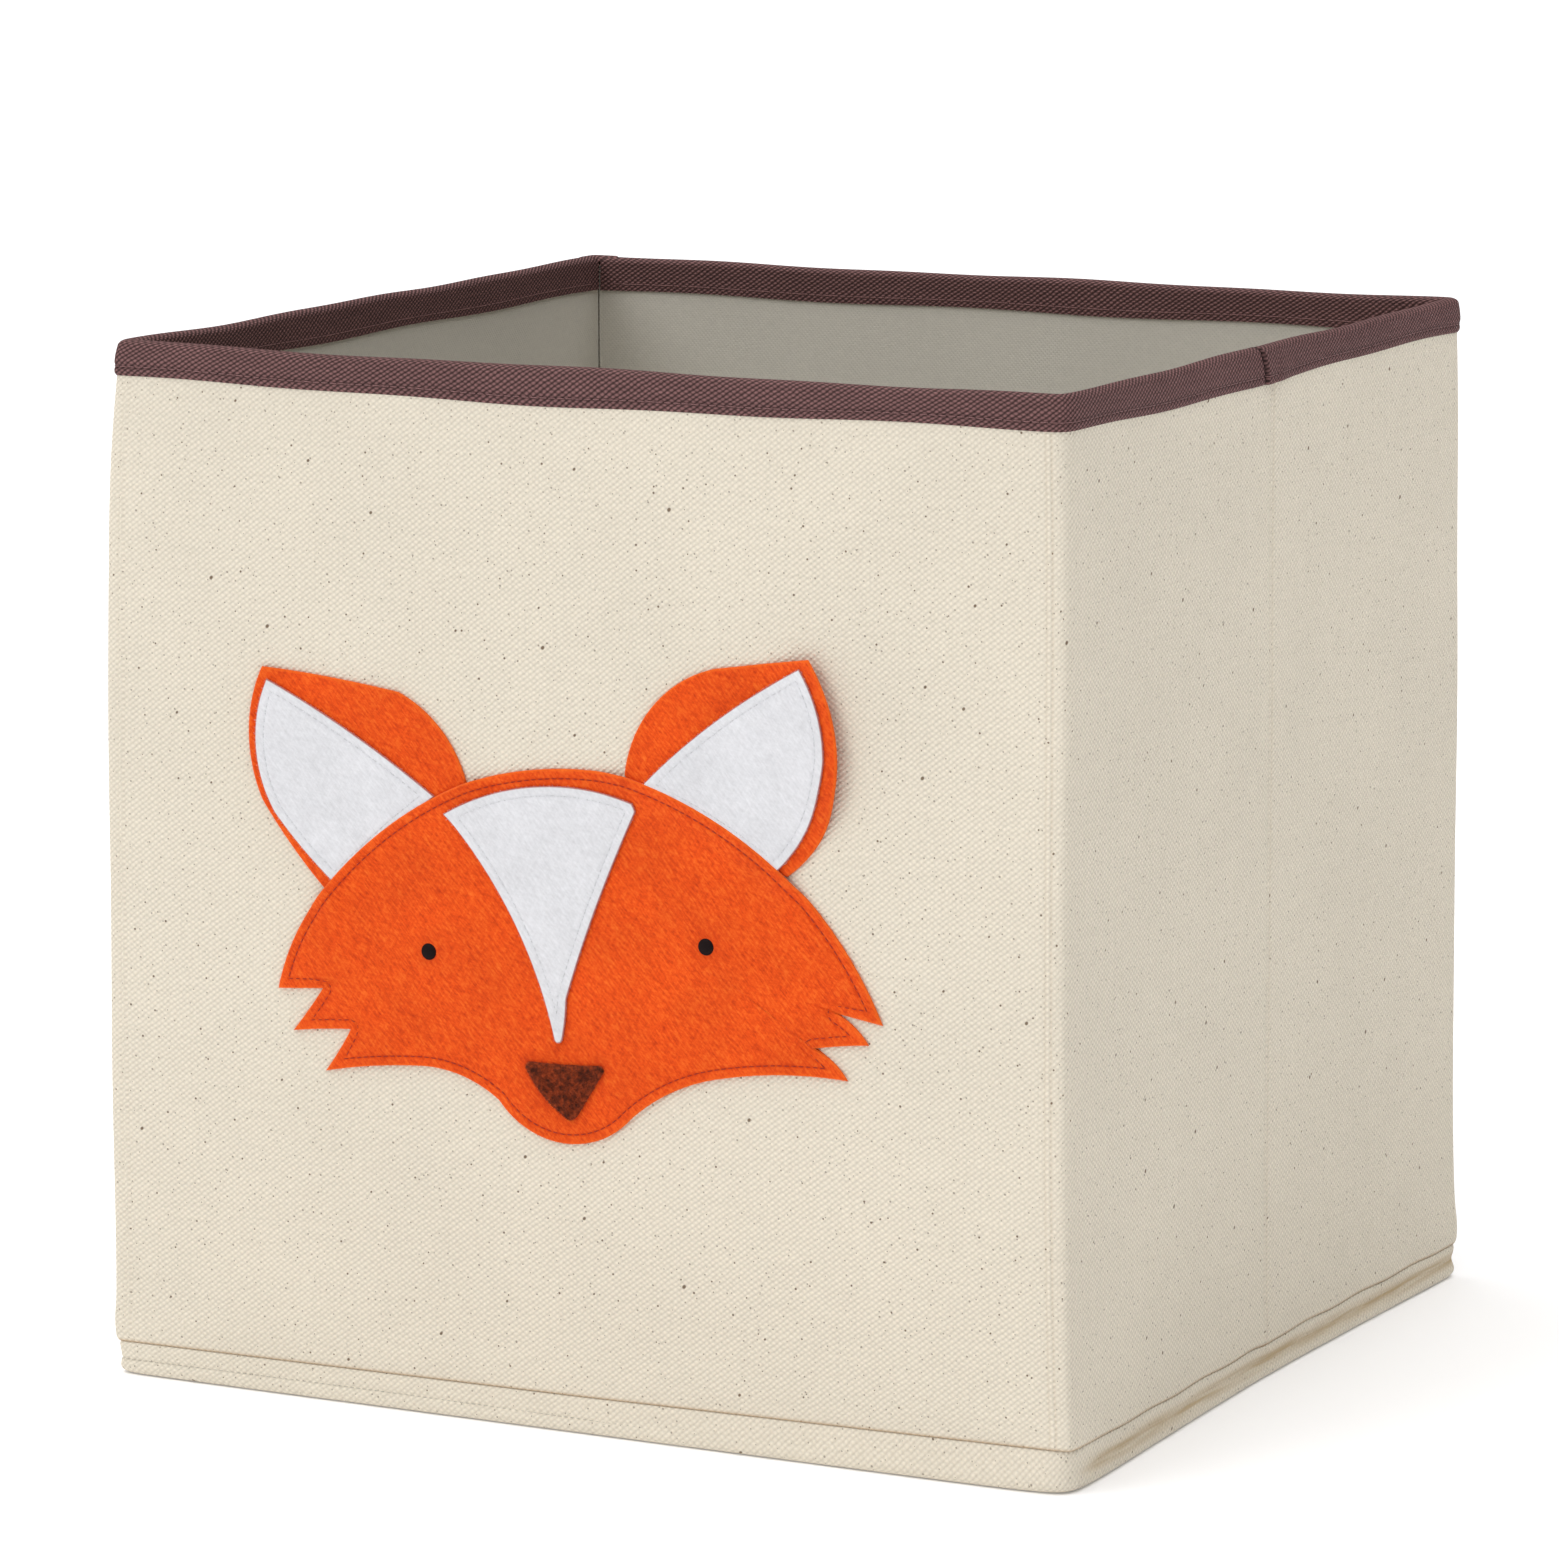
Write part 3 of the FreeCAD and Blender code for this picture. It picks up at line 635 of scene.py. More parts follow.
def stitched_line(u, z_of, out_of, soft_of):
    """Middles, directions and outward directions of stitches that run round the bin."""
    def at(u, lift):
        z = z_of(u)
        return bin_point(u, out_of(u, z) + lift, z, soft_of(z))
    middle = at(u, 0)
    return middle, at(u + 0.5 * MM, 0) - at(u - 0.5 * MM, 0), at(u, MM) - middle


def rim_row(u, share_of, side):
    """Middles, directions and outward directions of one row of stitches in the tape: outside
    the rim with side 1, and inside with side -1."""
    def at(u, lift):
        point = tape_point(u, share_of(u))
        grow = 1 + side * lift / HALF_X
        return point * np.array([grow, grow, 1])
    middle = at(u, 0)
    return middle, at(u + 0.4 * MM, 0) - at(u - 0.4 * MM, 0), at(u, MM) - middle


def stitch_rim():
    """A row of stitches along the tape's lower edge, outside and inside, for each hinge."""
    finish = thread_finish("tape_thread", tints().tape, 1.7)

    def outside(u):
        """Place of the outer row across the tape, as a share of its width."""
        return TAPE_UP * TAPE_SEAM / (RIM_Z - TAPE_CROWN - tape_foot(u))

    def inside(u):
        """Place of the inner row."""
        return 0.91 + 0 * u

    for name, start, end, hinge, bodies, _ in SKIN:
        last = end - 5 * MM if name == "back" else end
        u = np.arange(start + TAPE_PITCH / 2, last, TAPE_PITCH)
        rows = zip(rim_row(u, outside, 1), rim_row(u, inside, -1))
        piece = stitch_mesh(f"rim_stitches_{name}", *map(np.concatenate, rows), *TAPE_STITCH,
                            finish)
        bend(piece)


def fibre_mesh(name, roots, directions, lengths, radius, finish):
    """Loose fibres: thin three-sided spikes that leave their roots and curl a little."""
    count = len(roots)
    draw = np.random.default_rng(len(name) * 7 + count)
    directions = directions / np.linalg.norm(directions, axis=1, keepdims=True)
    side = np.cross(directions, draw.normal(size=(count, 3)))
    side = side / np.linalg.norm(side, axis=1, keepdims=True)
    other = np.cross(directions, side)
    t = np.array([0.0, 0.55, 1.0])
    width = np.array([1.0, 0.75, 0.12])
    curl = draw.uniform(-0.5, 0.5, (count, 1))
    centre = (roots[:, None] + directions[:, None] * (t * lengths[:, None])[..., None]
              + side[:, None] * ((t ** 2) * lengths[:, None] * curl)[..., None])
    turn = np.arange(3) * 2 * math.pi / 3
    ring = (side[:, None, None] * np.cos(turn)[:, None]
            + other[:, None, None] * np.sin(turn)[:, None])
    points = centre[:, :, None] + ring * (radius * width)[None, :, None, None]
    one = grid_quads(3, 3, wrap=True)
    ends = np.array([[2, 1, 0, 0], [6, 7, 8, 8]])
    offset = (np.arange(count) * 9)[:, None, None]
    faces = (one[None] + offset).reshape(-1, 4).tolist()
    caps = (ends[None, :, :3] + offset).reshape(-1, 3).tolist()
    mesh = bpy.data.meshes.new(name)
    mesh.from_pydata(points.reshape(-1, 3).tolist(), [], faces + caps)
    mesh.shade_smooth()
    mesh.materials.append(finish)
    piece = bpy.data.objects.new(name, mesh)
    bpy.context.scene.collection.objects.link(piece)
    return piece


# Bottom ------------------------------------------------------------------------------------

WELT_FRONT_Y = -149.5 * MM
WELT_START = FRONT_LEFT - (HALF_Y + WELT_FRONT_Y)
WELT_END = FRONT_RIGHT + (HALF_Y + WELT_FRONT_Y)
WELT_RUNS = (("front", WELT_START, WELT_END), ("sides", WELT_END, WELT_START + BACK_LEFT))


def welt_section(hollow):
    """The bottom band's section as offsets outside the canvas and heights as shares of the
    seam's height: in over its top fold, down its face, and in under the bin."""
    return curve_through([
        (-2.6, 0.86), (-1.5, 0.965), (-0.75, 1.0), (-0.12, 0.985), (0.16, 0.90),
        (0.18 - 0.1 * hollow, 0.76), (0.22 - 0.50 * hollow, 0.56),
        (0.40 - 0.15 * hollow, 0.38), (0.60 + 0.05 * hollow, 0.25), (0.40, 0.13),
        (-0.45, 0.045), (-1.7, 0.008), (-4.2, 0.0)], 40) * np.array([MM, 1])


def welt_hollow(u):
    """How hollow the band's face is: flat along the front, hollow along the sides and back."""
    away = np.mod(u, BACK_LEFT)
    front = smooth_step((away - FRONT_LEFT + 6 * MM) / (8 * MM)) * (
        1 - smooth_step((away - FRONT_RIGHT - 2 * MM) / (26 * MM)))
    return 1 - front


def low_seam(u):
    """Height of the second seam in the band, on the left half of the front."""
    return 5.0 * MM + 0.4 * MM * np.sin(u / 0.05)


def welt_point(u, row, section, flat_section):
    """Point of the band: its section, mixed from the hollow and the flat one, carried round."""
    hollow = welt_hollow(u)
    out = section[row, 0] * hollow + flat_section[row, 0] * (1 - hollow)
    share = section[row, 1] * hollow + flat_section[row, 1] * (1 - hollow)
    seam = seam_height(u)
    z = share * seam
    belly = np.sin(share * math.pi)
    pucker = 0.35 * MM * hump(np.abs(u - RIGHT_CREASE) - 1 * MM, 2.4 * MM) * belly
    ripple = 0.10 * MM * np.sin(2 * math.pi * u / 0.031) * np.sin(2 * math.pi * u / 0.173 + 1)
    second = 0.30 * MM * hump(z - low_seam(u), 0.4 * MM)
    second = second * smooth_step((FRONT_LEFT + HALF_X * 1.25 - u) / (60 * MM))
    second = second * (u > FRONT_LEFT - 20 * MM) * (u < BACK_LEFT)
    return bin_point(u, out - pucker + ripple * belly - second, z, (9.0 - 4.5 * share) * MM)


def sew_band():
    """The sewn band round the bottom: its front and corners ride the front, and the rest is
    attached to the front and base with a mesh of its own."""
    finish = band_finish()
    hollow, plain = welt_section(1.0), welt_section(0.0)
    for place, first, last in WELT_RUNS:
        fine = fine_places() + [(FRONT_LEFT + BACK_LEFT, 9 * MM, 0.6 * MM)]
        columns = stations(first, last, 4 * MM, fine)
        row, u = np.meshgrid(np.arange(len(plain)), columns, indexing="ij")
        points = welt_point(u, row, hollow, plain)
        run = np.concatenate([[0], np.cumsum(np.hypot(*np.diff(plain * [1, 11 * MM], axis=0).T))])
        # Painted shade in the hollow of the band's face.
        shade = welt_hollow(u) * hump(points[..., 2] - 6.2 * MM, 2.2 * MM)
        piece = new_piece(f"bottom_band_{place}", points, grid_quads(*u.shape, flip=True), finish,
                          cloth=np.stack([u, -run[row]], -1), layers={"shade": shade})
        thicken(piece, CANVAS_THICK)
        if place == "front":
            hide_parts("base_welt")
        hold_band(piece, place)


def hold_band(piece, place):
    """The band's front rides the front, and the rest of it is attached to the front and base with a
    mesh of its own.
    """
    if place == "front":
        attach(piece, "front_and_base")
    else:
        crumple(piece)


def crumple(piece):
    """Attach a bottom piece to the front and base, and give it a mesh of its own."""
    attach(piece, "front_and_base")
    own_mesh(piece)


def sew_bottom():
    """The canvas under the bin and the lining on it.  The lining is a shallow tray: a floor
    with soft waves whose rim turns up to the walls' lining."""
    across, deep = np.linspace(-1, 1, 61), np.linspace(-1, 1, 61)
    x, y = np.meshgrid(across, deep)
    shape = FLOOR_X * x, FLOOR_Y * y
    sag = 0.12 * MM * (1 + np.sin(shape[0] / 0.023) * np.sin(shape[1] / 0.031 + 1)) / 2
    under = new_piece("bottom_canvas_sheet", np.stack([*shape, 0.12 * MM + sag], -1),
                      grid_quads(61, 61, flip=True), canvas_finish(), cloth=np.stack(shape, -1))
    thicken(under, BOTTOM_THICK)
    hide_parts("base_canvas")
    crumple(under)

    turn_up = curve_through([(0.0, 0), (0.6, 0), (2.4, 0), (9, 0)], 8)[:, 0]
    inset = np.concatenate([np.zeros(6), turn_up, np.linspace(14, 150, 16)]) * MM
    climb = np.concatenate([np.linspace(12, 3.2, 6), [2.2, 1.2, 0.6, 0.25, 0.1, 0.03, 0, 0],
                            np.zeros(16)]) * MM
    around = np.linspace(0, 4 * (FLOOR_X + FLOOR_Y), 420, endpoint=False)
    row, u = np.meshgrid(np.arange(len(inset)), around, indexing="ij")
    plan = np.stack(soft_rectangle(u, FLOOR_X, FLOOR_Y, 2 * MM), -1)
    shrink = (1 - inset[row] / FLOOR_X)[..., None]
    x, y = np.moveaxis(plan * shrink, -1, 0)
    ripple = 0.12 * MM * np.sin(x / 0.021) * np.sin(y / 0.027) * (inset[row] > 9 * MM)
    z = FLOOR_TOP + climb[row] * (SEAM_Z - FLOOR_TOP) / (12 * MM) + ripple
    points = np.stack([x, y, z], -1)
    flat = plan * (shrink + (climb[row] / FLOOR_X)[..., None])
    tray = new_piece("bottom_lining_tray", points, grid_quads(*u.shape, wrap=True),
                     lining_finish(), cloth=flat)
    close_centre(tray, FLOOR_X - 150 * MM)
    thicken(tray, LINING_THICK)
    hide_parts("base_lining")
    crumple(tray)


def close_centre(piece, reach):
    """Close the small opening in the middle of a ring-shaped sheet, and no other."""
    work = bmesh.new()
    work.from_mesh(piece.data)
    inner = [e for e in work.edges
             if e.is_boundary and all(abs(v.co.x) < reach + 2 * MM for v in e.verts)]
    bmesh.ops.contextual_create(work, geom=inner)
    work.to_mesh(piece.data)
    work.free()
    piece.data.shade_smooth()
    mark_free_edges(piece.data)


def sew_seam_threads():
    """Short stitches in the bottom seam, all round, and in a second seam lower on the left
    half of the front."""
    finish = thread_finish("seam_thread", tints().seam, 1.0)

    def above(u):
        """Height of the seam's stitches."""
        return seam_height(u) + 0.12 * MM

    def seat(u, z):
        """How far out they lie."""
        return -0.55 * MM + 0 * u

    for place, first, last in WELT_RUNS:
        u = np.arange(first, last, SEAM_PITCH)
        u = u + 0.15 * MM * np.sin(u * 9e3)
        line = stitched_line(u, above, seat, lambda z: 3.0 * MM)
        piece = stitch_mesh(f"seam_stitches_{place}", *line, *SEAM_STITCH, finish)
        hold_band(piece, place)

    plain = welt_section(0.0)
    u = np.arange(FRONT_LEFT + 2 * MM, FRONT_LEFT + 1.15 * HALF_X, BAND_PITCH)

    def face(u, z):
        """How far out the band's face is, less the depth of its second seam."""
        share = z / seam_height(u)
        return np.interp(share, plain[::-1, 1], plain[::-1, 0]) - 0.26 * MM

    line = stitched_line(u, low_seam, face, lambda z: 4.2 * MM)
    piece = stitch_mesh("band_stitches_front", *line, *BAND_STITCH,
                        thread_finish("band_thread", tints().canvas, 0.62))
    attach(piece, "front_and_base")


# Loose insert ------------------------------------------------------------------------------


INSERT_HEM = 7.3 * MM


def cover_insert():
    """The insert: a board wrapped in lining cloth, a closed shell.  Rings of a soft rectangle
    shrink to a line in the middle; its edge is a half ellipse that stands over a sewn hem."""
    half_x, half_y = INSERT_HIGH.x, INSERT_HIGH.y
    low, high = INSERT_LOW.z, INSERT_HIGH.z
    middle, rise = (low + high) / 2, (high - low) / 2
    turn = np.linspace(-math.pi / 2, math.pi / 2, 15)
    inset = 1.75 * MM * (1 - np.cos(turn))
    z = middle + rise * np.sin(turn)
    flat = np.array([3, 5, 6, 6.8, 7.3, 7.8, 8.6, 10, 14, 24, 40, 70, 110, 140, 148]) * MM
    groove = 0.35 * MM * hump(flat - INSERT_HEM, 0.6 * MM)
    ease = 0.25 * MM * smooth_step((flat - 8 * MM) / (30 * MM))
    inset = np.concatenate([flat[::-1], inset, flat])
    z = np.concatenate([(low + groove)[::-1], z, high - groove + ease])
    lap = 4 * (half_x + half_y)
    around = np.linspace(0, lap, 480, endpoint=False)
    corner = np.concatenate([np.linspace(c - 8 * MM, c + 8 * MM, 17) for c in
                             (2 * half_y, 2 * half_y + 2 * half_x, 4 * half_y + 2 * half_x)])
    around = np.unique(np.round(np.concatenate([around, corner]), 6))
    row, u = np.meshgrid(np.arange(len(inset)), around, indexing="ij")
    x, y = soft_rectangle(u, half_x, half_y, 3.5 * MM)
    x2, y2 = soft_rectangle(u + lap, half_x, half_y, 3.5 * MM)
    home = u < lap / 8
    x, y = np.where(home, x2, x), np.where(home, y2, y)
    shrink = 1 - inset[row] / half_x, 1 - inset[row] / half_y
    points = np.stack([x * shrink[0], y * shrink[1], z[row]], -1)
    shell = new_piece("insert_cloth_cover", points, grid_quads(*u.shape, wrap=True),
                      lining_finish(), cloth=points[..., :2])
    close_holes(shell)
    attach(shell, "base_insert")
    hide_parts("insert_cover_bottom", "insert_cover_top")

    seam_x, seam_y = half_x - INSERT_HEM, half_y - INSERT_HEM

    def hem(u, lift):
        """Place on the hem's line, lifted off the cover."""
        x, y = soft_rectangle(u, seam_x, seam_y, 3.5 * MM)
        return np.stack([x, y, 0 * u + high - 0.30 * MM + lift], -1)

    u = np.arange(0, 4 * (seam_x + seam_y) - 2 * MM, HEM_PITCH)
    stitches = stitch_mesh("insert_hem_stitches", hem(u, 0), hem(u + MM, 0) - hem(u - MM, 0),
                           hem(u, MM) - hem(u, 0), *HEM_STITCH,
                           thread_finish("hem_thread", tints().lining, 0.8))
    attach(stitches, "base_insert")


def board_gap(long, end):
    """How far a board stops short of its frame's end: 5 mm at the soft corners of the front
    and the back, and less on a side, least of all beside the crease."""
    if long == 0:
        return 5.0 * MM
    return 0.5 * MM if abs(end) > 100 * MM else 0.2 * MM


def board_points(low, high):
    """A board between two corners.  Columns run along it and close into its ends, where its
    thickness follows a sine, and rows run round its section, whose top and bottom are half
    circles.  Its faces bow by a product of two sines."""
    thin = 0 if high[0] - low[0] < high[1] - low[1] else 1
    long = 1 - thin
    start, end = low[long] + board_gap(long, low[long]), high[long] - board_gap(long, high[long])
    half = (high[thin] - low[thin]) / 2
    bend_in = np.linspace(0, math.pi / 2, 5)
    closing = half * (1 - np.cos(bend_in))
    along = np.concatenate([start + closing, np.linspace(start + 2 * half, end - 2 * half, 40),
                            end - closing[::-1]])
    swell = np.concatenate([np.sin(bend_in), np.ones(40), np.sin(bend_in[::-1])])
    turn = np.linspace(0, math.pi, 9)[1:-1]
    bottom, top = low[2] + half, high[2] - half
    up = np.concatenate([np.linspace(bottom, top, 40), top + half * np.sin(turn),
                         np.linspace(top, bottom, 40), bottom - half * np.sin(turn)])
    side = np.concatenate([np.ones(40), np.cos(turn), -np.ones(40), -np.cos(turn)])
    row, column = np.meshgrid(np.arange(len(along)), np.arange(len(up)), indexing="ij")
    points = np.zeros((*row.shape, 3))
    bow = 0.08 * MM * np.sin(along[row] / 0.031) * np.sin(up[column] / 0.037)
    thickness = side[column] * half * np.maximum(swell[row], 0.02)
    points[..., long] = along[row]
    points[..., thin] = (low[thin] + high[thin]) / 2 + bow + thickness
    points[..., 2] = up[column]
    return points, thin == 1


def cut_boards():
    """The boards inside the walls, and the finish of the insert's board."""
    finish = board_finish()
    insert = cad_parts["insert_board"]
    if not insert.material_slots:
        insert.data.materials.append(finish)
    for slot in insert.material_slots:
        slot.material = finish
    for name in [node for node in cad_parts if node.startswith("board")]:
        points, flip = board_points(*(np.array(corner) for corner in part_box(name)))
        piece = new_piece(f"{name}_panel", points,
                          grid_quads(*points.shape[:2], wrap=True, flip=flip), finish)
        close_holes(piece)
        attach(piece, board_body(name))
        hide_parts(name)


def board_body(name):
    """The body that a board belongs to."""
    wall = name.replace("board_", "")
    return "front_and_base" if wall == "front" else f"{wall}_panel"


# Fox face ----------------------------------------------------------------------------------

# Outlines in millimetres from the fox's reference point: a start, and then straight runs
# (x, z) and arcs (x, z that it passes through, x, z that it ends at).
FOX_Z = 150.0 * MM + RIM_RISE
EAR_A = (-88.5, 13.0)
EAR_B = (-38.0, 50.4)
EAR_C = (17.0, 56.8)
EAR_D = (72.5, 30.2)
LEFT_CHEEK = (-105.7, -20.0)
RIGHT_CHEEK = (104.7, -12.5)
HEAD = (LEFT_CHEEK, [
    (-99.0, -2.0, *EAR_A), (-65.0, 34.9, *EAR_B), (-10.0, 56.8, *EAR_C),
    (46.5, 46.7, *EAR_D), (90.5, 11.2, *RIGHT_CHEEK),
    (89.5, -10.2), (95.5, -14.0, 100.0, -19.0), (90.5, -20.1, 81.5, -21.7),
    (88.0, -25.2, 93.0, -30.6), (72.0, -30.8, 50.0, -34.1), (34.5, -39.3, 19.0, -49.7),
    (-4.0, -59.6, -27.0, -48.2), (-40.0, -41.8, -54.0, -40.0), (-70.0, -41.4, -88.8, -44.8),
    (-83.4, -37.2, -79.5, -30.7), (-90.0, -31.6, -100.4, -33.0), (-94.2, -25.1, -89.5, -18.6),
    (-97.0, -19.3, *LEFT_CHEEK)])
LEFT_EAR = (EAR_A, [
    (-101.0, 26.8, -110.5, 39.5), (-115.2, 58.0, -110.3, 81.6), (-86.0, 79.8, -62.0, 76.8),
    (-48.5, 67.8, *EAR_B), (-60.5, 29.2, *EAR_A)])
RIGHT_EAR = (EAR_C, [
    (26.3, 78.4, 48.0, 91.8), (64.5, 94.5, 80.7, 97.2), (87.7, 84.0, 90.8, 68.0),
    (86.0, 46.0, *EAR_D), (43.5, 40.5, *EAR_C)])
LEFT_INNER_EAR = ((-48.6, 45.4), [
    (-65.0, 32.3, -84.2, 15.0), (-96.0, 25.6, -105.5, 36.0), (-112.2, 57.0, -108.0, 78.0),
    (-78.0, 63.2, -48.6, 45.4)])
RIGHT_INNER_EAR = ((23.2, 54.0), [
    (50.0, 77.0, 78.0, 94.3), (84.6, 81.5, 86.8, 67.0), (80.0, 45.3, 69.0, 31.2),
    (46.0, 44.6, 23.2, 54.0)])
BLAZE = ((-45.3, 40.3), [
    (-10.0, 51.7, 20.6, 48.7), (21.5, 46.3), (8.4, 16.5, -2.6, -14.0),
    (-3.1, -21.0, -4.2, -27.2), (-5.6, -28.1, -6.8, -27.7), (-22.0, 10.5, -45.3, 40.3)])
NOSE = ((-15.3, -34.7), [
    (-3.5, -34.6, 8.6, -33.8), (10.0, -34.7, 9.6, -36.4), (0.8, -50.4),
    (-1.6, -51.7, -4.0, -50.6), (-11.0, -45.0, -16.6, -37.6), (-17.0, -35.8, -15.3, -34.7)])
EYES = {"left_eye": (-51.2, -3.5), "right_eye": (45.3, 6.5)}


def arc_run(start, through, end, step):
    """Points on the circle through three points, from the first up to before the last."""
    (ax, ay), (bx, by), (cx, cy) = start, through, end
    d = 2 * (ax * (by - cy) + bx * (cy - ay) + cx * (ay - by))
    a2, b2, c2 = ax * ax + ay * ay, bx * bx + by * by, cx * cx + cy * cy
    ux = (a2 * (by - cy) + b2 * (cy - ay) + c2 * (ay - by)) / d
    uy = (a2 * (cx - bx) + b2 * (ax - cx) + c2 * (bx - ax)) / d
    radius = math.hypot(ax - ux, ay - uy)
    first = math.atan2(ay - uy, ax - ux)
    past = (math.atan2(by - uy, bx - ux) - first) % (2 * math.pi)
    whole = (math.atan2(cy - uy, cx - ux) - first) % (2 * math.pi)
    if past > whole:
        whole -= 2 * math.pi
    count = max(2, int(abs(whole) * radius / step))
    angle = first + whole * np.arange(count) / count
    return np.stack([ux + radius * np.cos(angle), uy + radius * np.sin(angle)], -1)


def outline_ring(outline, step):
    """A closed outline as points about a step apart, in metres, anticlockwise seen from the
    front."""
    start, runs = outline
    parts, here = [], start
    for run in runs:
        if len(run) == 4:
            parts.append(arc_run(here, run[:2], run[2:], step))
        else:
            count = max(2, int(math.dist(here, run) / step))
            share = (np.arange(count) / count)[:, None]
            parts.append(np.array(here) * (1 - share) + np.array(run) * share)
        here = run[-2:]
    ring = np.concatenate(parts) * MM
    x, z = ring.T
    area = (x * np.roll(z, -1) - np.roll(x, -1) * z).sum()
    return (ring if area > 0 else ring[::-1]), abs(area) / 2


def edge_distance(points, ring):
    """Distance from each point to the nearest stretch of a closed ring."""
    flat = points.reshape(-1, 2)
    after = np.roll(ring, -1, axis=0)
    best = np.full(len(flat), 1e9)
    step = after - ring
    size = (step ** 2).sum(1)
    for first in range(0, len(flat), 4000):
        some = flat[first:first + 4000, None]
        share = np.clip(((some - ring) * step).sum(-1) / size, 0, 1)
        away = np.linalg.norm(some - ring - step * share[..., None], axis=-1)
        best[first:first + 4000] = away.min(1)
    return best.reshape(points.shape[:-1])


def inside_ring(points, ring):
    """Which points lie inside a closed ring: a level line from each crosses it an odd number
    of times."""
    ahead = np.roll(ring, -1, axis=0)
    x, z = points[:, :1], points[:, 1:]
    spans = (ring[:, 1] > z) != (ahead[:, 1] > z)
    rise = np.where(ahead[:, 1] == ring[:, 1], 1, ahead[:, 1] - ring[:, 1])
    cross = ring[:, 0] + (z - ring[:, 1]) * (ahead[:, 0] - ring[:, 0]) / rise
    return (spans & (x < cross)).sum(1) % 2 == 1


def run_distance(points, run):
    """Distance from each point to an open run of points."""
    flat = points.reshape(-1, 2)
    away = np.linalg.norm(flat[:, None] - run[None], axis=-1).min(1)
    return away.reshape(points.shape[:-1])


LEFT_JOIN = np.concatenate([arc_run(EAR_A, (-65.0, 34.9), EAR_B, 2.0), [EAR_B]]) * MM
RIGHT_JOIN = np.concatenate([arc_run(EAR_C, (46.5, 46.7), EAR_D, 2.0), [EAR_D]]) * MM


def face_lift(spot):
    """How far the face stands off the canvas: it climbs over the ears that are tucked under
    its top edge, by their thickness, and dies away from them."""
    over = np.minimum(run_distance(spot, LEFT_JOIN), run_distance(spot, RIGHT_JOIN))
    return 1.5 * MM * (1 - smooth_step(over / (11 * MM)))


def ear_lift(spot):
    """The right ear's outer edge curls off the canvas, more towards its tip."""
    x, z = spot[..., 0], spot[..., 1]
    out = smooth_step((x + 0.10 * (z - 60 * MM) - 66 * MM) / (26 * MM))
    high = smooth_step((z - 38 * MM) / (22 * MM))
    left = smooth_step((-x - 92 * MM) / (26 * MM)) * smooth_step((z - 50 * MM) / (40 * MM))
    return 3.9 * MM * out * high + 0.5 * MM * left


def white_lift(spot):
    """White felt lies on the orange felt."""
    return ear_lift(spot) + FELT_TOP + 0.05 * MM


def blaze_lift(spot):
    """The blaze and the nose lie on the face's puffed front."""
    return face_lift(spot) + face_puff(spot) + FELT_TOP + 0.05 * MM


def face_puff(spot):
    """The face bulges slightly between its seams and dips round each eye."""
    x, z = spot[..., 0], spot[..., 1]
    swell = 0.35 * MM * hump(np.hypot((x + 1 * MM) / 1.9, z), 38 * MM)
    for eye_x, eye_z in EYES.values():
        swell = swell - 0.30 * MM * hump(np.hypot(x - eye_x * MM, z - eye_z * MM), 4.5 * MM)
    return swell


def no_puff(spot):
    """No bulge."""
    return 0 * spot[..., 0]


def on_front_wall(spot, stand):
    """Points that stand off the front wall's canvas at places given from the fox's reference
    point."""
    z = FOX_Z + spot[..., 1]
    return np.stack([spot[..., 0], front_skin(spot[..., 0], z) - stand, z], -1)


FELT_EDGE = 0.55 * MM


def felt_height(deep, thick, edge, seam):
    """Height of felt over its back at a distance deep inside its edge: a quarter ellipse as
    wide as edge, with a groove along the seam and a soft swell beside it."""
    near = np.clip(deep / edge, 0, 1)
    height = thick * (0.35 + 0.65 * np.sqrt(np.clip(1 - (1 - near) ** 2, 0, 1)))
    if seam:
        height = height - 0.20 * thick * hump(deep - seam, 0.45 * MM)
    return height


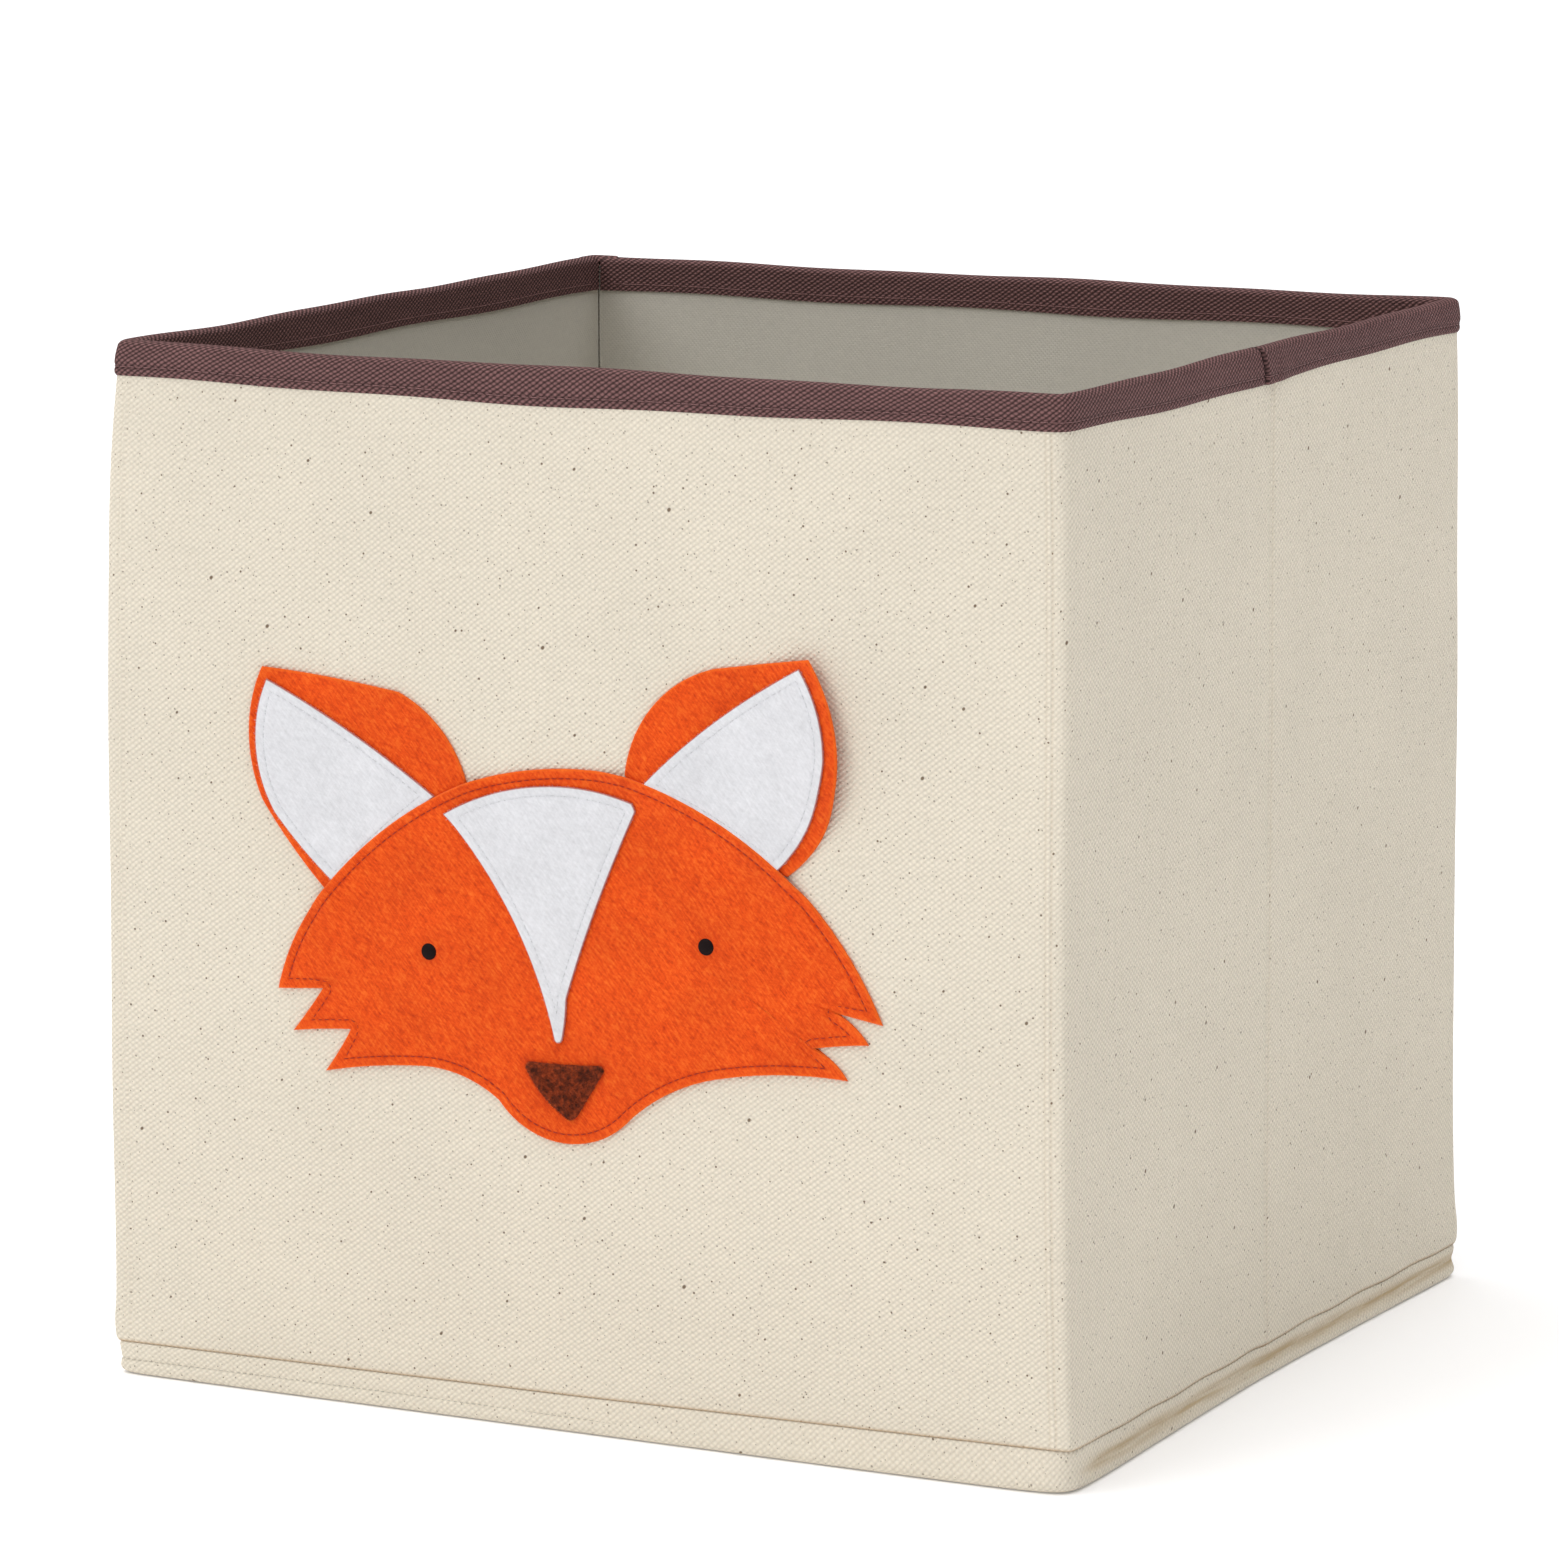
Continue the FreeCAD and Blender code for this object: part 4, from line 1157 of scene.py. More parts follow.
def cut_felt(name, outline, thick, lift, puff, finish, edge=FELT_EDGE, seam=None, step=1.0):
    """A felt cut-out as a closed shell.  Columns run round its outline and rows run in to a
    short line of nodes in its middle, first over the back and then over the front."""
    ring, area = outline_ring(outline, step)
    spine = FOX_SPINES[name]
    nodes = np.linspace(*spine, max(2, int(math.dist(*spine) / 4) + 1)) * MM
    line = nodes[-1] - nodes[0]
    share = np.clip(((ring - nodes[0]) @ line) / (line @ line), 0, 1)
    target = nodes[np.round(share * (len(nodes) - 1)).astype(int)]
    length = np.linalg.norm(target - ring, axis=1)
    near = MM * np.array([0.06, 0.16, 0.32, 0.55, 0.9, 1.4, 2.0, 2.4, 2.7, 3.0, 3.3, 3.6, 4.1,
                          5.0, 6.5, 8.5])
    fit = np.minimum(1, 0.6 * length / near[-1])
    near_share = near[:, None] * fit / length
    far = np.linspace(0, 1, 10)[1:, None]
    front = np.concatenate([near_share, near_share[-1] + (1 - near_share[-1]) * far])
    back = np.array([1, 0.66, 0.33, 0.1, 0.02])[:, None] + 0 * length
    rows = np.concatenate([back, 0 * length[None], front])
    spot = ring + (target - ring) * rows[..., None]
    deep = edge_distance(spot, ring)
    on_front = (np.arange(len(rows)) >= len(back))[:, None]
    height = np.where(on_front, felt_height(deep, thick, edge, seam) + puff(spot),
                      0.12 * MM * hump(deep, 0.2 * MM))
    points = on_front_wall(spot, lift(spot) + height)
    # Near each cut edge: a painted highlight on the orange felt, and a painted shadow with
    # reflected orange on the white felt.
    rim = 1 - smooth_step(deep / (0.9 * MM))
    # Painted shade in the seam's groove, and on the face in the dips round the eyes and round the
    # nose.
    press = 0.8 * hump(deep - seam, 0.45 * MM) if seam else 0 * deep
    if name == "fox_face":
        for eye in EYES.values():
            away = np.linalg.norm(spot - np.array(eye) * MM, axis=-1)
            press = np.maximum(press, 0.75 * hump(away, 4.2 * MM))
        by_nose = run_distance(spot, outline_ring(NOSE, 1.0)[0])
        press = np.maximum(press, 0.8 * hump(by_nose, 1.5 * MM))
    piece = new_piece(name, points, grid_quads(*deep.shape, wrap=True), finish,
                      cloth=spot, layers={"rim": rim, "press": press}, merge=True)
    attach(piece, "front_and_base")
    return piece, ring, target


def seam_ring(ring, target, inset, pitch):
    """Places along a felt's seam: on each line from the outline inwards, the first point that
    is an inset inside the outline; then the run of those is divided evenly by the pitch."""
    length = np.linalg.norm(target - ring, axis=1)
    share = np.linspace(0, 1, 160)[:, None] * np.minimum(1, 16 * MM / length)
    spot = ring + (target - ring) * share[..., None]
    deep = edge_distance(spot, ring)
    reached = deep >= inset
    first = np.argmax(reached, axis=0)
    kept = np.nonzero(reached.any(0) & (first > 0))[0]
    row, before = first[kept], first[kept] - 1
    d0, d1 = deep[before, kept], deep[row, kept]
    mix = ((inset - d0) / (d1 - d0))[:, None]
    line = spot[before, kept] * (1 - mix) + spot[row, kept] * mix
    closed = np.concatenate([line, line[:1]])
    run = np.concatenate([[0], np.cumsum(np.linalg.norm(np.diff(closed, axis=0), axis=1))])
    count = int(run[-1] / pitch)
    place = (np.arange(count) + 0.5) * run[-1] / count

    def at(distance):
        distance = np.mod(distance, run[-1])
        return np.stack([np.interp(distance, run, closed[:, k]) for k in (0, 1)], -1)

    return at(place), at(place + 0.3 * MM) - at(place - 0.3 * MM)


def sew_felt(name, ring, target, thick, lift, puff, finish, inset):
    """Stitches along a felt's seam, standing in its groove."""
    spot, along = seam_ring(ring, target, inset, FELT_PITCH)
    height = felt_height(inset, thick, FELT_EDGE, inset) + puff(spot)
    middle = on_front_wall(spot, lift(spot) + height)
    ahead = on_front_wall(spot + along, lift(spot + along)) - on_front_wall(spot, lift(spot))
    away = np.broadcast_to([0.0, -1.0, 0.0], middle.shape)
    piece = stitch_mesh(name, middle, ahead, away, *FELT_STITCH, finish)
    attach(piece, "front_and_base")


def fluff(name, ring, thick, lift, count, length, finish):
    """Loose fibres on a felt's cut edge, pointing outwards and up at random."""
    draw = np.random.default_rng(count)
    index = draw.integers(0, len(ring), count)
    share = draw.random((count, 1))
    root = ring[index] * (1 - share) + np.roll(ring, -1, axis=0)[index] * share
    tangent = np.roll(ring, -1, axis=0)[index] - ring[index]
    outward = np.stack([tangent[:, 1], -tangent[:, 0]], -1)
    outward = outward / np.linalg.norm(outward, axis=1, keepdims=True)
    root = root - outward * 0.25 * MM
    depth = draw.uniform(0.15, 1.0, count) * thick
    roots = on_front_wall(root, lift(root) + depth)
    spread = draw.normal(0, 0.55, (count, 3))
    directions = np.stack([outward[:, 0], -0.25 + 0 * depth, outward[:, 1]], -1) + spread
    directions[:, 1] = -np.abs(directions[:, 1])
    lengths = length * draw.uniform(0.35, 1.15, count)
    piece = fibre_mesh(name, roots, directions, lengths, 0.022 * MM, finish)
    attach(piece, "front_and_base")


FOX_SPINES = {
    "fox_face": ((-60, -10), (52, -3)),
    "fox_left_ear": ((-88, 44), (-66, 52)),
    "fox_right_ear": ((48, 62), (68, 74)),
    "fox_left_inner_ear": ((-96, 44), (-74, 44)),
    "fox_right_inner_ear": ((54, 58), (72, 66)),
    "fox_blaze": ((-12, 38), (-7, 16)),
    "fox_nose": ((-6, -40), (-1, -40.5)),
}


WHITE_THICK = 1.0 * MM


def cut_fox():
    """The fox's felt pieces with their seams and loose fibres."""
    size = sizes()
    orange, white = orange_felt_finish(), white_felt_finish()
    orange_thread = thread_finish("orange_thread", tints().thread, 1.0)
    white_thread = thread_finish("white_thread", tints().white, 0.86)
    for name, outline, thick, lift, puff, finish, slot, thread, count in (
            ("left_ear", LEFT_EAR, FELT_TOP, ear_lift, no_puff, orange, "orange_felt",
             None, 1500),
            ("right_ear", RIGHT_EAR, FELT_TOP, ear_lift, no_puff, orange, "orange_felt",
             None, 1500),
            ("left_inner_ear", LEFT_INNER_EAR, WHITE_THICK, white_lift, no_puff, white,
             "white_felt", white_thread, 1100),
            ("right_inner_ear", RIGHT_INNER_EAR, WHITE_THICK, white_lift, no_puff, white,
             "white_felt", white_thread, 1100),
            ("face", HEAD, FELT_TOP, face_lift, face_puff, orange, "orange_felt",
             orange_thread, 3200),
            ("blaze", BLAZE, WHITE_THICK, blaze_lift, no_puff, white, "white_felt",
             white_thread, 1000)):
        piece, ring, target = cut_felt(f"fox_{name}", outline, thick, lift, puff, finish,
                                       seam=size.stitch_inset if thread else None)
        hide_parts(f"{name}_felt")
        if thread:
            sew_felt(f"fox_{name}_stitches", ring, target, thick, lift, puff, thread,
                     size.stitch_inset)
        fluff(f"fox_{name}_fuzz", ring, thick, lift, count, size.fibre_length, finish)
    flock_nose()


def flock_nose():
    """The flocked nose: a soft-edged patch covered in short upright fibres."""
    finish = nose_finish()
    thick, soft_edge = 0.9 * MM, 1.6 * MM
    piece, ring, _ = cut_felt("fox_nose", NOSE, thick, blaze_lift, no_puff, finish,
                              edge=soft_edge, step=0.6)
    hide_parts("nose_felt")
    draw = np.random.default_rng(11)
    low, high = ring.min(0), ring.max(0)
    spot = draw.uniform(low, high, (13000, 2))
    spot = spot[inside_ring(spot, ring)]
    count = len(spot)
    deep = edge_distance(spot, ring)
    height = felt_height(deep, thick, soft_edge, None)
    roots = on_front_wall(spot, blaze_lift(spot) + height - 0.1 * MM)
    lean = draw.normal(0, 0.55, (count, 3)) + np.array([0.0, -1.0, 0.0])
    outward = spot - ring.mean(0)
    outward = outward / np.linalg.norm(outward, axis=1, keepdims=True)
    at_edge = (1 - smooth_step(deep / (1.5 * MM)))[:, None]
    lean[:, [0, 2]] += outward * at_edge * 1.1
    lean[:, 1] = -np.abs(lean[:, 1])
    flock = fibre_mesh("fox_nose_flock", roots, lean, 0.75 * MM * draw.uniform(0.5, 1.2, count),
                       0.035 * MM, finish)
    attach(flock, "front_and_base")


def set_eyes():
    """Each eye is a low dome: rings of a circle whose height follows an ellipse, with its
    edge turned back into the felt."""
    finish = eye_finish()
    for name, (eye_x, eye_z) in EYES.items():
        low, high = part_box(name)
        radius = (high.x - low.x) / 2
        swing = np.linspace(-0.35, math.pi / 2, 16)
        turn = np.linspace(0, 2 * math.pi, 40, endpoint=False)
        s, a = np.meshgrid(swing, turn, indexing="ij")
        x = eye_x * MM + radius * np.cos(s) * np.cos(a)
        z = eye_z * MM + radius * np.cos(s) * np.sin(a)
        centre = np.array([[eye_x, eye_z]]) * MM
        base = front_skin(centre[:, 0], FOX_Z + centre[:, 1])[0] - FELT_TOP + 0.1 * MM
        y = base - 1.15 * MM * np.sin(s)
        points = np.stack([x, y, FOX_Z + z], -1)
        piece = new_piece(f"fox_{name}", points, grid_quads(16, 40, wrap=True), finish, merge=True)
        close_holes(piece)
        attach(piece, "front_and_base")
        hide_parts(name)


# Finishes ----------------------------------------------------------------------------------


class Finish:
    """A node finish being put together: short ways to add and join its nodes."""

    def __init__(self, name, roughness, sheen=0.0):
        """A new material with its roughness and sheen on the shader's own sockets."""
        self.material = bpy.data.materials.new(name)
        self.material.use_nodes = True
        self.tree = self.material.node_tree
        self.shader = self.tree.nodes["Principled BSDF"]
        self.shader.inputs["Roughness"].default_value = roughness
        self.shader.inputs["Sheen Weight"].default_value = sheen
        self.shader.inputs["Sheen Roughness"].default_value = 0.5
        self.shader.inputs["Specular IOR Level"].default_value = 0.25

    def node(self, kind, inputs, **settings):
        """Add a node, set its properties, and join or set its inputs."""
        node = self.tree.nodes.new(kind)
        for key, value in settings.items():
            setattr(node, key, value)
        for key, value in inputs.items():
            if isinstance(value, bpy.types.NodeSocket):
                self.tree.links.new(value, node.inputs[key])
            else:
                node.inputs[key].default_value = value
        return node

    def cloth(self):
        """The piece's own cloth coordinates, in metres."""
        return self.node("ShaderNodeUVMap", {}, uv_map="cloth").outputs["UV"]

    def place(self, vector, scale, turn=0.0, shift=(0, 0, 0)):
        """Stretched and turned coordinates."""
        turned = self.node("ShaderNodeMapping", {"Vector": vector, "Rotation": (0, 0, turn)})
        return self.node("ShaderNodeMapping", {
            "Vector": turned.outputs[0], "Scale": scale, "Location": shift}).outputs[0]

    def math(self, operation, *values, clamp=False):
        """A sum on one to three values."""
        node = self.tree.nodes.new("ShaderNodeMath")
        node.operation = operation
        node.use_clamp = clamp
        for socket, value in zip(node.inputs, values):
            if isinstance(value, bpy.types.NodeSocket):
                self.tree.links.new(value, socket)
            else:
                socket.default_value = value
        return node.outputs[0]

    def noise(self, vector, scale=1.0, detail=2.0, roughness=0.5):
        """Soft random shade."""
        return self.node("ShaderNodeTexNoise", {
            "Vector": vector, "Scale": scale, "Detail": detail,
            "Roughness": roughness}).outputs["Fac"]

    def span(self, value, low, high, to_low=0.0, to_high=1.0):
        """A value taken from one range to another, and kept inside it."""
        return self.node("ShaderNodeMapRange", {
            "Value": value, "From Min": low, "From Max": high,
            "To Min": to_low, "To Max": to_high}).outputs[0]

    def mix(self, share, first, second):
        """A colour between two, by a share."""
        node = self.node("ShaderNodeMix", {}, data_type="RGBA")
        for place, value in ((0, share), (6, first), (7, second)):
            socket = node.inputs[place]
            if isinstance(value, bpy.types.NodeSocket):
                self.tree.links.new(value, socket)
            elif isinstance(value, float):
                socket.default_value = value
            else:
                socket.default_value = (*value, 1.0)
        return node.outputs[2]

    def scaled(self, base, factor):
        """A colour made lighter or darker by a factor."""
        return self.node("ShaderNodeVectorMath", {0: base, "Scale": factor},
                         operation="SCALE").outputs[0]

    def layer(self, name):
        """A share that the piece carries at each of its points."""
        return self.node("ShaderNodeAttribute", {}, attribute_name=name).outputs["Fac"]

    def done(self, colour_socket, height=None, strength=0.5, distance=0.3 * MM):
        """Join the colour and the bump, and hand the finish back."""
        self.tree.links.new(colour_socket, self.shader.inputs["Base Color"])
        if height is not None:
            bump = self.node("ShaderNodeBump", {"Height": height, "Strength": strength,
                                                "Distance": distance})
            self.tree.links.new(bump.outputs[0], self.shader.inputs["Normal"])
        return self.material


def known(name):
    """A finish that has already been made, or none."""
    return bpy.data.materials.get(name)


def shaded(base, factors):
    """A colour with each of its channels multiplied by a factor."""
    return tuple(channel * factor for channel, factor in zip(base, factors))


def plain_weave(finish, cloth, warp_pitch, weft_pitch, lean):
    """Over-and-under weave: a product of two sines, whose half period is a thread's pitch,
    with a share of one of its two slanting waves added, and the threads' own round tops."""
    wobble = finish.noise(cloth, 260.0, 2.0)
    other = finish.noise(finish.place(cloth, (1, 1, 1), 0.7, (0.3, 0.1, 0)), 240.0, 2.0)
    split = finish.node("ShaderNodeSeparateXYZ", {0: cloth})
    u, v = (finish.math("MULTIPLY_ADD", finish.math("SUBTRACT", shift, 0.5), 0.9 * MM, way)
            for shift, way in zip((wobble, other), split.outputs))
    a = finish.math("MULTIPLY", u, math.pi / warp_pitch)
    b = finish.math("MULTIPLY", v, math.pi / weft_pitch)
    product = finish.math("MULTIPLY", finish.math("SINE", a), finish.math("SINE", b))
    slant = finish.math("COSINE", finish.math("SUBTRACT", a, b))
    tops = finish.math("ADD", finish.math("COSINE", finish.math("MULTIPLY", a, 2.0)),
                       finish.math("COSINE", finish.math("MULTIPLY", b, 2.0)))
    weave = finish.math("MULTIPLY_ADD", slant, lean, product)
    return finish.math("MULTIPLY_ADD", tops, -0.18, weave)


def specks(finish, cloth, cell, reach, share, turn, stretch):
    """Scattered specks: cells about a cell apart, a share of which hold a speck of the given
    reach, drawn out along one direction."""
    spread = finish.place(cloth, (1 / cell, 1 / (cell * stretch), 1), turn, (3.1 * turn, 1.7, 0))
    cells = finish.node("ShaderNodeTexVoronoi", {
        "Vector": spread, "Scale": 1.0, "Randomness": 1.0}, voronoi_dimensions="2D")
    drawn = finish.node("ShaderNodeSeparateColor", {0: cells.outputs["Color"]})
    size = finish.span(drawn.outputs[1], 0, 1, 0.45 * reach / cell, reach / cell)
    near = finish.math("SUBTRACT", 1.0, finish.math("DIVIDE", cells.outputs["Distance"], size))
    inside = finish.span(near, 0.0, 0.45)
    return finish.math("MULTIPLY", inside, finish.math("LESS_THAN", drawn.outputs[0], share))


def cotton(finish, cloth, base, seed):
    """Natural canvas: its weave, with painted light on the threads' tops and painted shade in the
    pits between them, its uneven threads, slow shade, tan and dark seed specks.
    """
    weave = plain_weave(finish, cloth, 1.17 * MM, 0.91 * MM, 0.28)
    warp = finish.noise(finish.place(cloth, (900, 45, 1)), 1.0, 3.0)
    weft = finish.noise(finish.place(cloth, (45, 1100, 1)), 1.0, 3.0)
    slow = finish.noise(cloth, 18.0, 2.0)
    threads = finish.math("ADD", finish.span(warp, 0.25, 0.75, -0.02, 0.02),
                          finish.span(weft, 0.25, 0.75, -0.03, 0.03))
    grain = finish.noise(cloth, 1150.0, 2.0, 0.6)
    threads = finish.math("ADD", threads, finish.span(grain, 0.3, 0.7, -0.055, 0.055))
    # The weave's height lightens the threads' tops and darkens between them: painted light and
    # shade.
    light = finish.math("MULTIPLY_ADD", weave, 0.095, finish.math("ADD", threads, 1.0))
    light = finish.math("ADD", light, finish.span(slow, 0.3, 0.7, -0.02, 0.02))
    body = finish.scaled(base, light)
    # Painted shade in the pits between the threads.
    pits = finish.math("MULTIPLY", finish.span(weave, -0.5, -1.3), 0.32)
    body = finish.mix(pits, body, shaded(base, (0.62, 0.52, 0.40)))
    tan = finish.math("MAXIMUM", specks(finish, cloth, 4.6 * MM, 0.36 * MM, 0.6, 0.4, 1.0),
                      specks(finish, cloth, 6.3 * MM, 0.42 * MM, 0.7, 2.1, 1.15))
    dark = finish.math("MAXIMUM", specks(finish, cloth, 11.0 * MM, 0.48 * MM, 0.55, 1.2, 1.0),
                       specks(finish, cloth, 24.0 * MM, 0.72 * MM, 0.55, 0.7, 1.25))
    husk = tuple(0.25 * b + 0.6 * s for b, s in zip(base, seed))
    body = finish.mix(finish.math("MULTIPLY", tan, 0.75), body, husk)
    body = finish.mix(finish.math("MULTIPLY", dark, 0.9), body, seed)
    height = finish.math("MULTIPLY_ADD", weave, 0.8, finish.math("MULTIPLY", threads, 3.5))
    return body, height


def canvas_finish():
    """Natural cotton canvas."""
    if known("natural_canvas"):
        return known("natural_canvas")
    finish = Finish("natural_canvas", 0.92, 0.05)
    tint = tints()
    body, height = cotton(finish, finish.cloth(), tuple(tint.canvas), tuple(tint.seed))
    # Mix in the seam colour by the shade layer: painted shade in the seam's fold and stitched
    # grooves, partly the seam's own tan.
    body = finish.mix(finish.layer("shade"), body, tuple(tint.seam))
    return finish.done(body, height, 0.6, 0.25 * MM)


def band_finish():
    """The same canvas on the bottom band, with streaky painted shade in the hollow of its face."""
    finish = Finish("band_canvas", 0.92, 0.05)
    tint = tints()
    body, height = cotton(finish, finish.cloth(), tuple(tint.canvas), tuple(tint.seed))
    streak = finish.noise(finish.place(finish.cloth(), (28, 700, 1)), 1.0, 3.0)
    # Painted shade in the band's hollow, broken into streaks.
    shade = finish.math("MULTIPLY", finish.layer("shade"),
                        finish.span(streak, 0.35, 0.6, 0.35, 1.0))
    body = finish.mix(shade, body, shaded(tint.canvas, (0.68, 0.56, 0.40)))
    return finish.done(body, height, 0.55, 0.22 * MM)


def lining_finish():
    """Pressed lining: short random fibres under a close pattern of pressed dots."""
    if known("pressed_lining"):
        return known("pressed_lining")
    finish = Finish("pressed_lining", 0.85, 0.08)
    cloth = finish.cloth()
    split = finish.node("ShaderNodeSeparateXYZ", {0: cloth})
    a = finish.math("SINE", finish.math("MULTIPLY", split.outputs[0], 2 * math.pi / (1.5 * MM)))
    b = finish.math("SINE", finish.math("MULTIPLY", split.outputs[1], 2 * math.pi / (1.5 * MM)))
    dots = finish.span(finish.math("MULTIPLY", a, b), 0.2, 0.9)
    fibre = finish.noise(finish.place(cloth, (1400, 260, 1), 0.6), 1.0, 3.0)
    cross = finish.noise(finish.place(cloth, (260, 1400, 1), 0.3), 1.0, 3.0)
    slow = finish.noise(cloth, 12.0, 2.0)
    light = finish.math("ADD", finish.span(fibre, 0.3, 0.7, 0.96, 1.02),
                        finish.span(cross, 0.3, 0.7, -0.03, 0.03))
    light = finish.math("ADD", light, finish.span(slow, 0.3, 0.7, -0.02, 0.02))
    light = finish.math("MULTIPLY_ADD", dots, -0.07, light)
    base = tuple(tints().lining)
    height = finish.math("SUBTRACT", finish.math("ADD", fibre, cross), dots)
    return finish.done(finish.scaled(base, light), height, 0.5, 0.15 * MM)


def tape_finish():
    """Coarse woven tape: round threads with a painted highlight on their tops for their shine,
    painted shade, nearly black, between them, and painted shade along its stitching and where its
    two ends lap.
    """
    finish = Finish("woven_tape", 0.75)
    finish.shader.inputs["Specular IOR Level"].default_value = 0.12
    cloth = finish.cloth()
    weave = plain_weave(finish, cloth, 1.22 * MM, 0.84 * MM, 0.30)
    streak = finish.noise(finish.place(cloth, (60, 1400, 1)), 1.0, 3.0)
    slow = finish.noise(cloth, 25.0, 2.0)
    # Painted highlight on the threads' tops and painted shade between them.
    light = finish.span(weave, -1.0, 1.0, 0.22, 1.85)
    light = finish.math("MULTIPLY", light, finish.span(streak, 0.3, 0.7, 0.88, 1.12))
    light = finish.math("MULTIPLY", light, finish.span(slow, 0.3, 0.7, 0.95, 1.05))
    base = tuple(tints().tape)
    # Darken by the painted shade of the stitching's groove and the ends' lap.
    light = finish.math("MULTIPLY", light, finish.span(finish.layer("shade"), 0, 1, 1, 0.12))
    return finish.done(finish.scaled(base, light), weave, 0.8, 0.25 * MM)


def felt_fibres(finish, cloth):
    """Matted fibres: three stretched noises laid across each other, most along one slant."""
    first = finish.noise(finish.place(cloth, (1250, 260, 1), -0.75), 1.0, 4.0, 0.65)
    second = finish.noise(finish.place(cloth, (1000, 260, 1), 0.5), 1.0, 4.0, 0.65)
    third = finish.noise(finish.place(cloth, (260, 1100, 1), 0.15), 1.0, 4.0, 0.65)
    both = finish.math("MULTIPLY_ADD", first, 0.5, finish.math("MULTIPLY", second, 0.25))
    return finish.math("MULTIPLY_ADD", third, 0.25, both)


def orange_felt_finish():
    """Orange felt: deeper and lighter fibres mixed, with a painted highlight along its cut edges
    and painted shade in its seam's groove and round the eyes and the nose."""
    finish = Finish("orange_felt_cloth", 0.95, 0.10)
    finish.shader.inputs["Specular IOR Level"].default_value = 0.1
    tint = tints()
    cloth = finish.cloth()
    fibres = felt_fibres(finish, cloth)
    slow = finish.noise(cloth, 45.0, 3.0)
    brushed = finish.noise(finish.place(cloth, (210, 45, 1), -0.9), 1.0, 3.0, 0.6)
    fibres = finish.math("MULTIPLY_ADD", finish.math("SUBTRACT", brushed, 0.5), 0.14, fibres)
    deep = finish.span(fibres, 0.50, 0.34)
    light = finish.span(fibres, 0.50, 0.66)
    orange, dark, bright = tuple(tint.orange), tuple(tint.orange_deep), tuple(tint.orange_light)
    body = finish.mix(finish.math("MULTIPLY", deep, 0.95), orange, dark)
    body = finish.mix(finish.math("MULTIPLY", light, 0.85), body, bright)
    patch = finish.span(slow, 0.35, 0.65, 0.95, 1.05)
    body = finish.scaled(body, patch)
    # Painted highlight along the cut edges.
    body = finish.mix(finish.math("MULTIPLY", finish.layer("rim"), 0.6), body, bright)
    # Painted shade in the seam's groove and round the eyes and the nose.
    body = finish.mix(finish.math("MULTIPLY", finish.layer("press"), 0.60), body, dark)
    return finish.done(body, fibres, 0.75, 0.5 * MM)


def white_felt_finish():
    """White felt: faint grey fibres, soft blue-grey painted shade along its seam, and a thin dark
    red edge of painted shadow with reflected orange.
    """
    finish = Finish("white_felt_cloth", 0.95, 0.1)
    finish.shader.inputs["Specular IOR Level"].default_value = 0.1
    cloth = finish.cloth()
    fibres = felt_fibres(finish, cloth)
    slow = finish.noise(cloth, 60.0, 3.0)
    light = finish.math("ADD", finish.span(fibres, 0.35, 0.65, 0.84, 1.08),
                        finish.span(slow, 0.3, 0.7, -0.04, 0.04))
    base = tuple(tints().white)
    body = finish.scaled(base, light)
    # Painted shade in the seam's groove.
    press = finish.math("MULTIPLY", finish.layer("press"), 0.10)
    body = finish.mix(press, body, shaded(base, (0.72, 0.76, 0.80)))
    # Painted shadow with reflected orange along the cut edge.
    edge = finish.span(finish.layer("rim"), 0.55, 0.95, 0.0, 0.85)
    body = finish.mix(edge, body, shaded(tints().orange_deep, (0.8, 1.6, 5.0)))
    return finish.done(body, fibres, 0.6, 0.4 * MM)


def nose_finish():
    """Brown flock with lighter and darker tufts."""
    finish = Finish("nose_flock_pile", 0.95, 0.08)
    point = finish.node("ShaderNodeTexCoord", {}).outputs["Object"]
    tuft = finish.noise(point, 650.0, 4.0, 0.7)
    base = tuple(tints().nose)
    light = finish.span(tuft, 0.36, 0.64, 0.35, 1.9)
    return finish.done(finish.scaled(base, light), tuft, 0.8, 0.4 * MM)


def eye_finish():
    """Glossy black with fine scuffs."""
    finish = Finish("eye_gloss", 0.6)
    finish.shader.inputs["Specular IOR Level"].default_value = 0.08
    point = finish.node("ShaderNodeTexCoord", {}).outputs["Object"]
    scuff = finish.noise(point, 2200.0, 3.0)
    base = tuple(tints().eye)
    body = finish.mix(finish.span(scuff, 0.55, 0.8, 0.0, 0.5), base, shaded(base, (3, 3, 3)))
    return finish.done(body, scuff, 0.25, 0.1 * MM)


def thread_finish(name, base, light):
    """Twisted thread: bright and dark plies along each stitch."""
    if known(name):
        return known(name)
    finish = Finish(name, 0.7, 0.1)
    point = finish.node("ShaderNodeTexCoord", {}).outputs["Object"]
    ply = finish.noise(point, 2600.0, 2.0)
    base = tuple(min(1.0, c * light) for c in base)
    return finish.done(finish.scaled(base, finish.span(ply, 0.3, 0.7, 0.7, 1.3)),
                       ply, 0.5, 0.1 * MM)


def board_finish():
    """Pressed board: short dark and pale fibres in a grey-brown sheet."""
    finish = Finish("pressed_board", 0.9)
    point = finish.node("ShaderNodeTexCoord", {}).outputs["Object"]
    flake = finish.noise(point, 420.0, 5.0, 0.65)
    strand = finish.noise(finish.place(point, (90, 90, 900)), 1.0, 4.0)
    base = tuple(tints().board)
    light = finish.math("ADD", finish.span(flake, 0.3, 0.7, 0.82, 1.12),
                        finish.span(strand, 0.3, 0.7, -0.06, 0.06))
    return finish.done(finish.scaled(base, light), flake, 0.4, 0.2 * MM)


# Stage -------------------------------------------------------------------------------------

